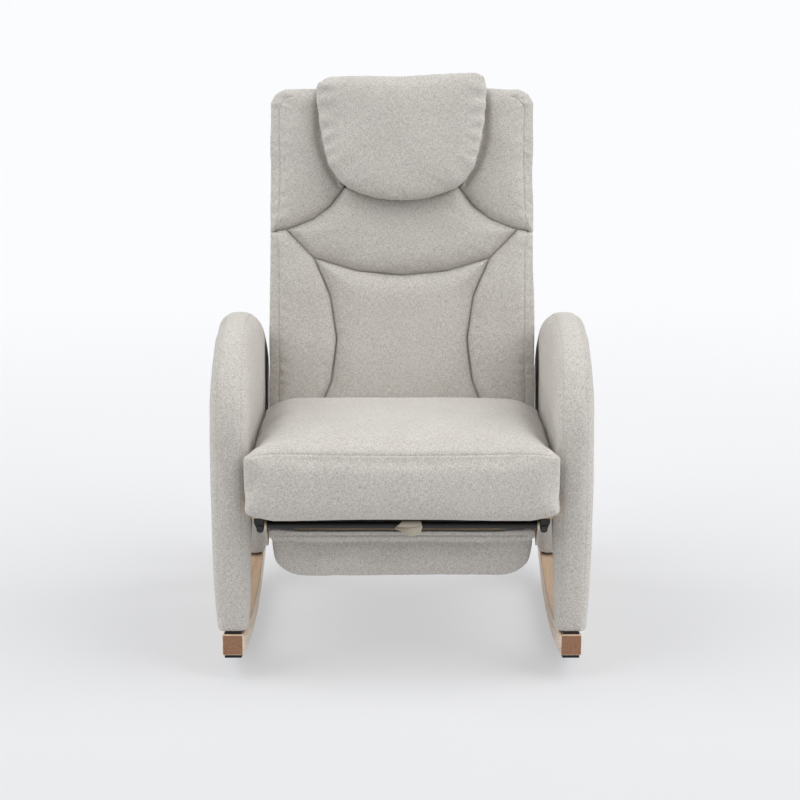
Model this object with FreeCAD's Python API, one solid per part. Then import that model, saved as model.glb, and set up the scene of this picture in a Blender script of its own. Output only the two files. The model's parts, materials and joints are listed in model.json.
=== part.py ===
"""Upholstered rocking recliner with a pull-out, fold-over footrest.

Frame: +X to the sitter's left-hand side seen from the front, -Y is the front, +Z is up,
millimetres.  The origin is on the floor under the middle of the bounding box.
"""
import FreeCAD
import Part
import math
import os

V = FreeCAD.Vector

# ---------------------------------------------------------------- driving dimensions
FRONT_Y = -440.0            # front face of the seat
REAR_Y = 440.0              # rear ends of the rockers
ARM_OUTER = 340.0           # half of the overall width
ARM_INNER = 273.5           # inner faces of the arms
ARM_FRONT = -410.0          # front faces of the arms and rockers
ARM_REAR = 245.0            # rear faces of the arms
ARM_TOP = 629.0             # highest point of the arms
ARM_BOW = 190.0             # radius of the round front of an arm
COLUMN_DEPTH = 108.0        # front-to-back size of the two legs of an arm
PANEL_BOTTOM = 262.0        # underside of an arm between its legs
ARM_ROUND = 26.0            # rounding of the arm's padded edges
ARM_PADDING = 20.0          # padding over the arm's wooden frame
PLY = 22.0                  # thickness of the arm's wooden frame

ROCK_Y = -40.0              # lowest point of the rockers
ROCK_FRONT_R = 1600.0       # rolling radius in front of the lowest point
ROCK_REAR_R = 800.0         # rolling radius behind it
ROCK_INNER = 286.0
ROCK_WIDTH = 38.0
RUBBER = 5.0                # thickness of the rubber strip under a rocker
RUBBER_WIDTH = 30.0
ROCK_HEIGHT = 38.0          # height of the rocker's wood
ROCK_EASE = 2.5             # rounding of its edges
SPACER = 4.0                # black spacer between a rocker and an arm's leg

SEAT_HALF = 272.8           # half width of the seat cushion between the arms
SEAT_FRONT_HALF = 277.0     # half width of its front, which stands ahead of the arms
SEAT_TOP = 441.0
SEAT_UNDER = 304.0          # bottom edge of the upholstered seat front
RAIL_Z = (306.0, 345.0)     # bottom and top of the seat rails
RAIL_OUTER = 268.0
RAIL = 22.0                 # thickness of the seat rails
RAIL_REAR = 60.0            # rear ends of the side rails

PIVOT_Y = 90.0              # axis of the reclining hinges
PIVOT_Z = 335.0
LEAN = 18.0                 # lean of the back at rest, degrees
BACK_HALF = 262.0           # half width of the back
BACK_TOP = 688.0            # top of the back, measured up the back from the hinge axis
PAD_FRONT = -92.0           # front of the back's cushions, measured square to the back
PAD_REAR = -3.0
SHELL_REAR = 50.0

BAR_Y = -362.0              # axis of the footrest's front bar
BAR_Z = 279.0
BAR_R = 6.5
TUBE_X = 258.0              # slide tubes of the footrest
TUBE_Z = 290.0
TUBE_R = 7.5
REST_HALF = 241.0           # half width of the footrest pad
REST_NEAR = 18.0            # near edge of the pad behind the bar's axis, stored
REST_DEPTH = 218.0
REST_TOP = 268.0
REST_BOTTOM = 170.0
RUN = 0.05                  # running clearance of hinge eyes, radial
SEAM = 0.6                  # half the gap between two cushions at a seam

SIDES = {"left": -1.0, "right": 1.0}


# ---------------------------------------------------------------- helpers
def box(xs, ys, zs):
    """Box from three (low, high) pairs."""
    size = [pair[1] - pair[0] for pair in (xs, ys, zs)]
    return Part.makeBox(size[0], size[1], size[2], V(xs[0], ys[0], zs[0]))


def rod(start, end, radius):
    """Solid cylinder between two points."""
    path = V(*end) - V(*start)
    return Part.makeCylinder(radius, path.Length, V(*start), path)


def pipe(start, end, outer, inner):
    """Tube between two points."""
    return rod(start, end, outer).cut(rod(start, end, inner))


def face_yz(points, x=0.0):
    """Face in a plane of constant X from (y, z) corners."""
    corners = [V(x, y, z) for y, z in points]
    return Part.Face(Part.makePolygon(corners + corners[:1]))


def slab(points, xs):
    """(y, z) outline extruded from xs[0] to xs[1]."""
    return face_yz(points, xs[0]).extrude(V(xs[1] - xs[0], 0, 0))


def span(side, near, far):
    """X range of a piece on one side, low value first."""
    return tuple(sorted((side * near, side * far)))


def fuse(shapes):
    """One shape from overlapping shapes."""
    result = shapes[0].multiFuse(shapes[1:])
    return result.removeSplitter()


def group(shapes):
    """Separate solids kept in one node."""
    return Part.Compound(shapes)


def fillet_where(shape, radius, chosen):
    """Round the edges for which chosen(edge) is true."""
    return shape.makeFillet(radius, [edge for edge in shape.Edges if chosen(edge)])


def export(name, shape):
    shape.exportStep("parts/" + name + ".step")


def on_back(shape):
    """Move a shape from the back's own frame (X, square to it, up it) into place."""
    shape.rotate(V(0, 0, 0), V(1, 0, 0), -LEAN)
    shape.translate(V(0, PIVOT_Y, PIVOT_Z))
    return shape


# ---------------------------------------------------------------- rockers
def rock_arc_z(y, lift):
    """Height of the rocker's curve at y, lifted by lift square to the curve."""
    radius = ROCK_FRONT_R if y < ROCK_Y else ROCK_REAR_R
    return radius - math.sqrt((radius - lift) ** 2 - (y - ROCK_Y) ** 2)


def rock_band(low, high, xs, ys):
    """Solid between two lifts of the rocker's curve, cut off square at both ends."""
    def point(y, lift):
        return V(xs[0], y, rock_arc_z(y, lift))

    def curve(y0, y1, lift):
        middle = (y0 + y1) / 2
        return Part.Arc(point(y0, lift), point(middle, lift), point(y1, lift)).toShape()

    def stretch(y0, y1):
        edges = [curve(y0, y1, low),
                 Part.LineSegment(point(y1, low), point(y1, high)).toShape(),
                 curve(y0, y1, high),
                 Part.LineSegment(point(y0, high), point(y0, low)).toShape()]
        wire = Part.Wire(Part.__sortEdges__(edges))
        return Part.Face(wire).extrude(V(xs[1] - xs[0], 0, 0))

    if ys[1] <= ROCK_Y or ys[0] >= ROCK_Y:
        return stretch(ys[0], ys[1])
    return fuse([stretch(ys[0], ROCK_Y), stretch(ROCK_Y, ys[1])])


BOLT_YS = (-382.0, -330.0, 166.0, 216.0)
BOLT_R = 4.0
BOLT_HEAD_R = 7.5
BOLT_HEAD = 6.0
BOLT_GRIP = 128.0


def rocker_bolt(x, y):
    """Bolt up through the rocker and spacer into the arm's frame."""
    seat = rock_arc_z(y, RUBBER) + 9.0
    shank = rod((x, y, seat), (x, y, seat + BOLT_GRIP), BOLT_R)
    head = rod((x, y, seat - BOLT_HEAD), (x, y, seat), BOLT_HEAD_R)
    return fuse([shank, head])


def rocker_parts():
    bolts = []
    spacers = []
    for name, side in SIDES.items():
        xs = span(side, ROCK_INNER, ROCK_INNER + ROCK_WIDTH)
        middle = (xs[0] + xs[1]) / 2
        wood = rock_band(RUBBER, RUBBER + ROCK_HEIGHT, xs, (ARM_FRONT, REAR_Y))
        wood = wood.makeFillet(ROCK_EASE, wood.Edges)
        rubber_xs = (middle - RUBBER_WIDTH / 2, middle + RUBBER_WIDTH / 2)
        rubber = rock_band(0.0, RUBBER, rubber_xs, (ARM_FRONT + 2.0, REAR_Y - 4.0))
        own_spacers = []
        for y0, y1 in ((-400.0, -310.0), (148.0, 236.0)):
            top = RUBBER + ROCK_HEIGHT
            own_spacers.append(rock_band(top, top + SPACER, rubber_xs, (y0, y1)))
        for y in BOLT_YS:
            bolt = rocker_bolt(middle, y)
            bolts.append(bolt)
            low = rock_arc_z(y, RUBBER) - 20.0
            counterbore = rod((middle, y, low), (middle, y, rock_arc_z(y, RUBBER) + 9.0), BOLT_HEAD_R)
            wood = wood.cut(bolt).cut(counterbore)
            own_spacers = [spacer.cut(bolt) for spacer in own_spacers]
        spacers.extend(own_spacers)
        export("rocker_" + name, wood)
        export("rocker_rubber_" + name, rubber)
    export("rocker_spacers", group(spacers))
    export("rocker_bolts", group(bolts))


# ---------------------------------------------------------------- arms
def arm_outline(inset):
    """Face of the arm's side view, shrunk by inset all round; the legs stand on the rockers."""
    foot = RUBBER + ROCK_HEIGHT + SPACER + inset
    front = ARM_FRONT + inset
    rear = ARM_REAR - inset
    leg_front = ARM_FRONT + COLUMN_DEPTH - inset
    leg_rear = ARM_REAR - COLUMN_DEPTH + inset
    top = ARM_TOP - inset
    bow = ARM_BOW - inset
    centre = V(0, ARM_FRONT + ARM_BOW, ARM_TOP - ARM_BOW)
    low = PANEL_BOTTOM + inset
    arch = 45.0

    def line(a, b):
        return Part.LineSegment(V(0, *a), V(0, *b)).toShape()

    def arc(a, b, c):
        return Part.Arc(V(0, *a), V(0, *b), V(0, *c)).toShape()

    def foot_arc(y0, y1):
        middle = (y0 + y1) / 2
        return arc(*[(y, rock_arc_z(y, foot)) for y in (y0, middle, y1)])

    diagonal = bow * math.sqrt(0.5)
    crest = (centre.y, top)
    crest_end = (-100.0, top - 4.5)
    slope = (150.0, 541.0 - inset)
    shoulder_side = (rear, 424.0 - inset * 0.3)
    shoulder_mid = (rear - 13.0, 475.0 - inset)
    shoulder_top = (rear - 42.0, 507.0 - inset)
    corner = arch * (1 - math.sqrt(0.5))
    edges = [
        line((front, centre.z), (front, rock_arc_z(front, foot))),
        arc((front, centre.z), (centre.y - diagonal, centre.z + diagonal), crest),
        arc(crest, (-158.0, top - 0.9), crest_end),
        arc(crest_end, (30.0, 594.0 - inset), slope),
        line(slope, shoulder_top),
        arc(shoulder_top, shoulder_mid, shoulder_side),
        line(shoulder_side, (rear, rock_arc_z(rear, foot))),
        foot_arc(leg_rear, rear),
        line((leg_rear, rock_arc_z(leg_rear, foot)), (leg_rear, low - arch)),
        arc((leg_rear, low - arch), (leg_rear - corner, low - corner), (leg_rear - arch, low)),
        line((leg_rear - arch, low), (leg_front + arch, low)),
        arc((leg_front + arch, low), (leg_front + corner, low - corner), (leg_front, low - arch)),
        line((leg_front, low - arch), (leg_front, rock_arc_z(leg_front, foot))),
        foot_arc(front, leg_front),
    ]
    return Part.Face(Part.Wire(Part.__sortEdges__(edges)))


def arm_parts():
    for name, side in SIDES.items():
        cover_xs = span(side, ARM_INNER, ARM_OUTER)
        middle = (cover_xs[0] + cover_xs[1]) / 2
        cover_face = arm_outline(0.0)
        cover_face.translate(V(cover_xs[0], 0, 0))
        cover = cover_face.extrude(V(cover_xs[1] - cover_xs[0], 0, 0))

        def on_side_face(edge):
            flat = abs(edge.BoundBox.XMax - edge.BoundBox.XMin) < 0.01
            return flat and edge.BoundBox.ZMax > 130.0

        cover = fillet_where(cover, ARM_ROUND, on_side_face)
        frame_face = arm_outline(ARM_PADDING)
        frame_face.translate(V(middle - PLY / 2, 0, 0))
        frame = frame_face.extrude(V(PLY, 0, 0))
        cover = cover.cut(frame)
        rocker_middle = side * (ROCK_INNER + ROCK_WIDTH / 2)
        for y in BOLT_YS:
            bolt = rocker_bolt(rocker_middle, y)
            cover = cover.cut(bolt)
            frame = frame.cut(bolt)
        for y, z in ARM_BOLTS:
            bolt = arm_bolt(side, y, z)
            cover = cover.cut(bolt)
            frame = frame.cut(bolt)
        export("arm_frame_" + name, frame)
        export("arm_cover_" + name, cover)


# ---------------------------------------------------------------- seat
ARM_BOLTS = ((-350.0, 326.0), (-40.0, 326.0))
ARM_BOLT_R = 4.0
WASHER_R = 13.0


def arm_bolt(side, y, z):
    """Bolt from inside the seat rail, through a spacer, into the arm's frame."""
    inner = RAIL_OUTER - RAIL
    shank = rod((side * inner, y, z), (side * 312.0, y, z), ARM_BOLT_R)
    head = rod((side * (inner - 5.0), y, z), (side * inner, y, z), BOLT_HEAD_R)
    return fuse([shank, head])


def guide_sleeve(side):
    """Steel sleeve under a side rail that the footrest's slide tube runs in."""
    x = side * TUBE_X
    ys = (-335.0, 75.0)
    shape = rod((x, ys[0], TUBE_Z), (x, ys[1], TUBE_Z), 10.0)
    for y in (-300.0, 20.0):
        shape = shape.fuse(box((x - 8.0, x + 8.0), (y, y + 30.0), (TUBE_Z, RAIL_Z[0])))
    bore = rod((x, ys[0] - 1.0, TUBE_Z), (x, ys[1] + 1.0, TUBE_Z), TUBE_R + 0.3)
    return shape.cut(bore).removeSplitter()


def sinuous_spring(x):
    """Zigzag seat spring from the front rail to the rear rail."""
    pitch = 24.0
    reach = 22.0
    z = RAIL_Z[1] - 2.2
    y = -404.0
    end_y = 36.0
    turns = int((end_y - y) // pitch)
    step = (end_y - y) / turns
    edges = []
    for index in range(turns):
        sign = 1.0 if index % 2 == 0 else -1.0
        start = V(x, y + step * index, z)
        end = V(x, y + step * (index + 1), z)
        bulge = V(x + sign * reach, y + step * (index + 0.5), z)
        edges.append(Part.Arc(start, bulge, end).toShape())
    path = Part.Wire(edges)
    tangent = edges[0].tangentAt(edges[0].FirstParameter)
    section = Part.Wire(Part.Circle(edges[0].valueAt(edges[0].FirstParameter), tangent, 1.8).toShape())
    return path.makePipeShell([section], True, False, 2)


SPRING_XS = (-180.0, -90.0, 0.0, 90.0, 180.0)


def seat_parts():
    inner = RAIL_OUTER - RAIL
    front = box((-inner, inner), (-413.0, -391.0), RAIL_Z)
    rear = box((-FIXED_X[0], FIXED_X[0]), (30.0, 52.0), RAIL_Z)
    for name, side in SIDES.items():
        rail = box(span(side, inner, RAIL_OUTER), (-413.0, RAIL_REAR), RAIL_Z)
        for y, z in ARM_BOLTS:
            rail = rail.cut(arm_bolt(side, y, z))
        for y, z in PLATE_SCREWS:
            rail = rail.cut(plate_screw(side, y, z))
        export("seat_side_rail_" + name, rail)
        export("slide_guide_" + name, guide_sleeve(side))
    clips = []
    springs = []
    for x in SPRING_XS:
        springs.append(sinuous_spring(x))
        for y0, y1 in ((-412.0, -400.0), (32.0, 44.0)):
            clips.append(box((x - 9.0, x + 9.0), (y0, y1), (RAIL_Z[1] - 5.0, RAIL_Z[1])))
    spring_group = group(springs)
    clips = [clip.cut(spring_group) for clip in clips]
    seated = group(clips + springs)
    export("seat_front_rail", front.cut(seated))
    export("seat_rear_rail", rear.cut(seated))
    export("seat_springs", spring_group)
    export("spring_clips", group(clips))

    profile = [(FRONT_Y, SEAT_UNDER), (FRONT_Y, SEAT_TOP - 2.0), (-300.0, SEAT_TOP + 6.0),
               (-120.0, SEAT_TOP + 1.0), (20.0, 424.0), (4.0, 372.0), (0.0, 347.0),
               (-414.0, 347.0), (-414.0, SEAT_UNDER)]
    wide = slab(profile, (-SEAT_FRONT_HALF, SEAT_FRONT_HALF))
    narrow = slab(profile, (-SEAT_HALF, SEAT_HALF))
    ahead = box((-400.0, 400.0), (FRONT_Y - 10.0, ARM_FRONT - 2.0), (0.0, 600.0))
    cushion = fuse([narrow, wide.common(ahead)])

    def front_edge(edge):
        bound = edge.BoundBox
        return bound.YMax < FRONT_Y + 0.01 and bound.ZMax - bound.ZMin < 200.0

    export("seat_cushion", fillet_where(cushion, 16.0, front_edge))
    cover = box((-inner + 2.0, inner - 2.0), (-391.0, 52.0), (RAIL_Z[0] - 1.2, RAIL_Z[0] - 0.2))
    export("seat_dust_cover", cover)
    spacers = []
    bolts = []
    for side in SIDES.values():
        for y, z in ARM_BOLTS:
            spacers.append(pipe((side * RAIL_OUTER, y, z), (side * ARM_INNER, y, z), WASHER_R, ARM_BOLT_R))
            bolts.append(arm_bolt(side, y, z))
    export("arm_spacers", group(spacers))
    export("arm_bolts", group(bolts))


# ---------------------------------------------------------------- reclining hinges
EYE_R = 20.0
PIN_R = 5.0
FIXED_X = (242.0, 246.0)     # inner and outer face of the fixed plate
MOVING_X = (237.0, 241.0)
PLATE_SCREWS = ((-4.0, 325.0), (20.0, 325.0))
BACK_SCREWS = (60.0, 100.0, 140.0)
SCREW_R = 3.0


def plate_screw(side, y, z):
    """Screw from the fixed plate into the side rail."""
    shank = rod((side * FIXED_X[0], y, z), (side * (FIXED_X[1] + 16.0), y, z), SCREW_R)
    head = rod((side * (FIXED_X[0] - 3.0), y, z), (side * FIXED_X[0], y, z), 5.5)
    return fuse([shank, head])


def back_screw(side, up):
    """Screw from the moving plate into the back's stile, in the back's own frame."""
    shank = rod((side * MOVING_X[1], 13.0, up), (side * (MOVING_X[0] - 18.0), 13.0, up), SCREW_R)
    head = rod((side * MOVING_X[1], 13.0, up), (side * (MOVING_X[1] + 3.0), 13.0, up), 5.5)
    return fuse([shank, head])


def hinge_parts():
    for name, side in SIDES.items():
        fixed_xs = span(side, *FIXED_X)
        moving_xs = span(side, *MOVING_X)
        pivot_in = (side * 228.0, PIVOT_Y, PIVOT_Z)
        pivot_out = (side * 249.0, PIVOT_Y, PIVOT_Z)
        pin = fuse([rod(pivot_in, pivot_out, PIN_R),
                    rod((side * 246.0, PIVOT_Y, PIVOT_Z), pivot_out, 9.0)])
        nut = pipe(pivot_in, (side * 234.0, PIVOT_Y, PIVOT_Z), 8.0, PIN_R)
        washer = pipe((side * 235.0, PIVOT_Y, PIVOT_Z), (side * 236.8, PIVOT_Y, PIVOT_Z), 9.0, PIN_R)
        eye = rod((fixed_xs[0], PIVOT_Y, PIVOT_Z), (fixed_xs[1], PIVOT_Y, PIVOT_Z), EYE_R)
        arm = slab([(-15.0, 310.0), (-15.0, 342.0), (PIVOT_Y, PIVOT_Z + EYE_R), (PIVOT_Y, PIVOT_Z - EYE_R)],
                   fixed_xs)
        fixed = fuse([eye, arm]).cut(rod(pivot_in, pivot_out, PIN_R))
        for y, z in PLATE_SCREWS:
            fixed = fixed.cut(plate_screw(side, y, z))
        moving_eye = rod((moving_xs[0], 0, 0), (moving_xs[1], 0, 0), EYE_R)
        blade = box(moving_xs, (1.0, 25.0), (0.0, 160.0))
        moving = fuse([moving_eye, blade])
        moving = moving.cut(rod((moving_xs[0] - 1, 0, 0), (moving_xs[1] + 1, 0, 0), PIN_R + RUN))
        for up in BACK_SCREWS:
            moving = moving.cut(back_screw(side, up))
        export("hinge_fixed_plate_" + name, fixed)
        export("hinge_moving_plate_" + name, on_back(moving))
        export("hinge_pin_" + name, pin)
        export("hinge_nut_" + name, group([nut, washer]))
    screws = [plate_screw(side, y, z) for side in SIDES.values() for y, z in PLATE_SCREWS]
    export("fixed_plate_screws", group(screws))
    screws = [on_back(back_screw(side, up)) for side in SIDES.values() for up in BACK_SCREWS]
    export("moving_plate_screws", group(screws))


# ---------------------------------------------------------------- back frame
STILE_XS = (200.0, 237.0)
STILE_DEPTH = 26.0


def back_frame_parts():
    for name, side in SIDES.items():
        stile = box(span(side, *STILE_XS), (0.0, STILE_DEPTH), (26.0, 676.0))
        for up in BACK_SCREWS:
            stile = stile.cut(back_screw(side, up))
        export("back_stile_" + name, on_back(stile))
    rails = {"bottom": (28.0, 62.0), "middle": (330.0, 362.0), "top": (642.0, 676.0)}
    for name, zs in rails.items():
        rail = box((-STILE_XS[0], STILE_XS[0]), (0.0, STILE_DEPTH), zs)
        export("back_" + name + "_rail", on_back(rail))
    straps = []
    for index in range(6):
        up = 90.0 + 100.0 * index
        straps.append(box((-232.0, 232.0), (-2.4, -0.4), (up, up + 50.0)))
    export("back_webbing", on_back(group(straps)))
    outer = box((-BACK_HALF, BACK_HALF), (-2.0, SHELL_REAR), (36.0, BACK_TOP))

    def rear_edge(edge):
        return edge.BoundBox.YMin > SHELL_REAR - 0.01

    outer = fillet_where(outer, 14.0, rear_edge)
    hollow = box((8.0 - BACK_HALF, BACK_HALF - 8.0), (-3.0, STILE_DEPTH + 2.0), (35.0, BACK_TOP - 8.0))
    export("back_shell", on_back(outer.cut(hollow)))


# ---------------------------------------------------------------- back cushions
WING_SEAM = ((-BACK_HALF, 397.0), (-176.0, 424.0), (-114.0, 488.0))
LUMBAR_LOW = ((-174.0, 346.0), (0.0, 311.0), (174.0, 346.0))
SIDE_SEAM = ((-174.0, 346.0), (-129.0, 185.0), (-172.0, 20.0))
LUMBAR_END = (-229.0, 402.4)
CUSHION_LOW = 20.0
PILLOW_HALF = 164.0
PILLOW_TOP = 706.0
PILLOW_LOW = 454.0


def xb(point):
    """Point of the back's own frame in the plane of the cushions' rear."""
    return V(point[0], PAD_REAR, point[1])


def mirror(points):
    return tuple((-x, b) for x, b in points)


def circle_height(points, x):
    """Height at x on the lower or upper arc through three points, the one near the first point."""
    circle = Part.Circle(*[xb(point) for point in points])
    reach = math.sqrt(circle.Radius ** 2 - (x - circle.Center.x) ** 2)
    candidates = (circle.Center.z - reach, circle.Center.z + reach)
    return min(candidates, key=lambda height: abs(height - points[0][1]))


def arc_part(points, x0, x1):
    """Stretch of a seam's arc between two x values near the seam's first point."""
    middle = (x0 + x1) / 2
    stretch = [(x, circle_height(points, x)) for x in (x0, middle, x1)]
    return Part.Arc(*[xb(point) for point in stretch]).toShape()


def arc_of(points):
    return Part.Arc(*[xb(point) for point in points]).toShape()


def line_of(start, end):
    return Part.LineSegment(xb(start), xb(end)).toShape()


def cushion_from(edges, rounding):
    """Cushion with its seam gap, rounded at the front, from its outline's edges."""
    face = Part.Face(Part.Wire(Part.__sortEdges__(edges)))
    face = face.makeOffset2D(-SEAM)
    cushion = face.extrude(V(0, PAD_FRONT - PAD_REAR, 0))

    def front_edge(edge):
        return edge.BoundBox.YMax < PAD_FRONT + 0.01

    return on_back(fillet_where(cushion, rounding, front_edge))


def back_cushion_parts():
    wing_end = (WING_SEAM[2][0], circle_height(WING_SEAM, WING_SEAM[2][0]))
    lumbar_corner = (LUMBAR_END[0], circle_height(WING_SEAM, LUMBAR_END[0]))
    low_seam = (SIDE_SEAM[2][0], CUSHION_LOW)
    for name, side in SIDES.items():
        flip = FreeCAD.Matrix()
        flip.scale(V(-side, 1, 1))
        wing_top = BACK_TOP - 2.0
        wing = [arc_part(WING_SEAM, WING_SEAM[0][0], wing_end[0]),
                line_of(wing_end, (wing_end[0], wing_top)),
                line_of((wing_end[0], wing_top), (25.0 - BACK_HALF, wing_top)),
                line_of((25.0 - BACK_HALF, wing_top), (-BACK_HALF, wing_top - 25.0)),
                line_of((-BACK_HALF, wing_top - 25.0), WING_SEAM[0])]
        bolster = [arc_part(WING_SEAM, WING_SEAM[0][0], lumbar_corner[0]),
                   line_of(lumbar_corner, SIDE_SEAM[0]),
                   arc_of(SIDE_SEAM),
                   line_of(low_seam, (-BACK_HALF, CUSHION_LOW)),
                   line_of((-BACK_HALF, CUSHION_LOW), WING_SEAM[0])]
        for part, edges in (("wing_cushion_", wing), ("side_bolster_", bolster)):
            cushion = cushion_from(edges, 12.0)
            if side > 0:
                cushion = cushion.mirror(V(0, 0, 0), V(1, 0, 0))
            export(part + name, cushion)
    lumbar = [arc_part(WING_SEAM, lumbar_corner[0], wing_end[0]),
              line_of(wing_end, (-wing_end[0], wing_end[1])),
              arc_part(WING_SEAM, lumbar_corner[0], wing_end[0]).mirror(V(0, 0, 0), V(1, 0, 0)),
              line_of(lumbar_corner, SIDE_SEAM[0]),
              line_of((-lumbar_corner[0], lumbar_corner[1]), (-SIDE_SEAM[0][0], SIDE_SEAM[0][1])),
              arc_of(LUMBAR_LOW)]
    export("lumbar_cushion", cushion_from(lumbar, 12.0))
    centre = [arc_of(LUMBAR_LOW), arc_of(SIDE_SEAM), arc_of(mirror(SIDE_SEAM)),
              line_of(low_seam, (-low_seam[0], CUSHION_LOW))]
    export("centre_cushion", cushion_from(centre, 10.0))
    gap = 2 * SEAM
    backing = box((wing_end[0] + gap, -wing_end[0] - gap), (PAD_FRONT, PAD_REAR),
                  (wing_end[1] + gap, BACK_TOP - 2.0))
    export("pillow_backing", on_back(backing))


def pillow_parts():
    """Loose head pillow sewn to the top of the back, in front of the wings."""
    front = PAD_FRONT - 46.0
    rear = PAD_FRONT - 0.5
    side_mid = (PILLOW_HALF - 4.0, 610.0)
    side_low = (142.0, 522.0)
    corner = (112.0, 484.0)

    def place(point):
        return V(point[0], rear, point[1])

    def arc(a, b, c):
        return Part.Arc(place(a), place(b), place(c)).toShape()

    top = (PILLOW_HALF, PILLOW_TOP - 8.0)
    crown = (0.0, PILLOW_TOP)
    low = (0.0, PILLOW_LOW)
    edges = [arc(mirror([top])[0], crown, top),
             arc(top, side_mid, side_low),
             Part.LineSegment(place(side_low), place(corner)).toShape(),
             arc(corner, low, mirror([corner])[0]),
             Part.LineSegment(place(mirror([corner])[0]), place(mirror([side_low])[0])).toShape(),
             arc(mirror([side_low])[0], mirror([side_mid])[0], mirror([top])[0])]
    face = Part.Face(Part.Wire(Part.__sortEdges__(edges)))
    pillow = face.extrude(V(0, front - rear, 0))

    def front_edge(edge):
        return edge.BoundBox.YMax < front + 0.01

    export("head_pillow", on_back(fillet_where(pillow, 18.0, front_edge)))


# ---------------------------------------------------------------- footrest
LINK_XS = (243.5, 247.5)
LINK_EYE_R = 11.0
LINK_SCREWS = ((BAR_Y + 40.0, 261.0), (BAR_Y + 72.0, 261.0))
BRACKET_X = (248.5, 266.0)   # inner and outer face of a corner bracket
BRACKET_Y = (BAR_Y - 12.0, BAR_Y + 18.0)
BOARD = 12.0
TAB_X = (-12.0, 40.0)


def bracket(side):
    """Corner bracket: a cheek with a round foot, and a gusset behind the crossbar."""
    inner, outer = BRACKET_X
    outline = [(inner, 300.0), (outer, 300.0), (outer, 286.0), (inner + 13.0, 276.0),
               (inner + 13.0, 268.0), (inner, 268.0)]
    corners = [V(side * x, BRACKET_Y[0], z) for x, z in outline]
    cheek = Part.Face(Part.makePolygon(corners + corners[:1]))
    cheek = cheek.extrude(V(0, BRACKET_Y[1] - BRACKET_Y[0], 0))

    def foot(edge):
        bound = edge.BoundBox
        return bound.ZMax < 268.01 and bound.YMax - bound.YMin > 20.0

    cheek = fillet_where(cheek, 5.5, foot)
    web_ys = (BRACKET_Y[1] - 4.5, BRACKET_Y[1] - 0.5)
    web_outline = [(inner, 281.0), (inner, 300.0), (222.0, 300.0), (222.0, 294.0), (236.0, 281.0)]
    corners = [V(side * x, web_ys[0], z) for x, z in web_outline]
    web = Part.Face(Part.makePolygon(corners + corners[:1])).extrude(V(0, web_ys[1] - web_ys[0], 0))
    return fuse([cheek, web])


def carriage_parts():
    ends = [(side * BRACKET_X[0], BAR_Y, BAR_Z) for side in SIDES.values()]
    export("footrest_crossbar", pipe(ends[0], ends[1], BAR_R, BAR_R - 1.5))
    caps = []
    plugs = []
    for name, side in SIDES.items():
        export("footrest_bracket_" + name, bracket(side))
        x = side * TUBE_X
        tube_ys = (BRACKET_Y[1], 70.0)
        tube = pipe((x, tube_ys[0], TUBE_Z), (x, tube_ys[1], TUBE_Z), TUBE_R, TUBE_R - 1.5)
        export("slide_tube_" + name, tube)
        cap_x = side * (BRACKET_X[0] + 6.5)
        caps.append(rod((cap_x, BRACKET_Y[0] - 3.0, 275.5), (cap_x, BRACKET_Y[0], 275.5), 5.5))
        head = rod((x, tube_ys[1], TUBE_Z), (x, tube_ys[1] + 4.0, TUBE_Z), TUBE_R)
        stem = rod((x, tube_ys[1] - 14.0, TUBE_Z), (x, tube_ys[1], TUBE_Z), TUBE_R - 1.6)
        plugs.append(fuse([head, stem]))
    export("bracket_caps", group(caps))
    export("slide_tube_plugs", group(plugs))
    wrap = pipe((TAB_X[0], BAR_Y, BAR_Z), (TAB_X[1], BAR_Y, BAR_Z), BAR_R + 2.2, BAR_R)
    flap = box(TAB_X, (BAR_Y - 13.5, BAR_Y - 10.5), (BAR_Z - 16.0, BAR_Z + 6.0))
    neck = box(TAB_X, (BAR_Y - 11.0, BAR_Y - 7.6), (BAR_Z - 3.0, BAR_Z + 3.0))
    export("pull_tab", fuse([wrap, flap, neck]))


def stadium(start, end, radius, xs):
    """Flat bar with round ends between two (y, z) points."""
    along = V(0, end[0] - start[0], end[1] - start[1])
    across = V(0, -along.z, along.y).normalize() * radius
    a = V(0, *start)
    b = V(0, *end)
    corners = [a + across, b + across, b - across, a - across]
    bar = slab([(corner.y, corner.z) for corner in corners], xs)
    ends = [rod((xs[0], *point), (xs[1], *point), radius) for point in (start, end)]
    return fuse([bar] + ends)


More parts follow.
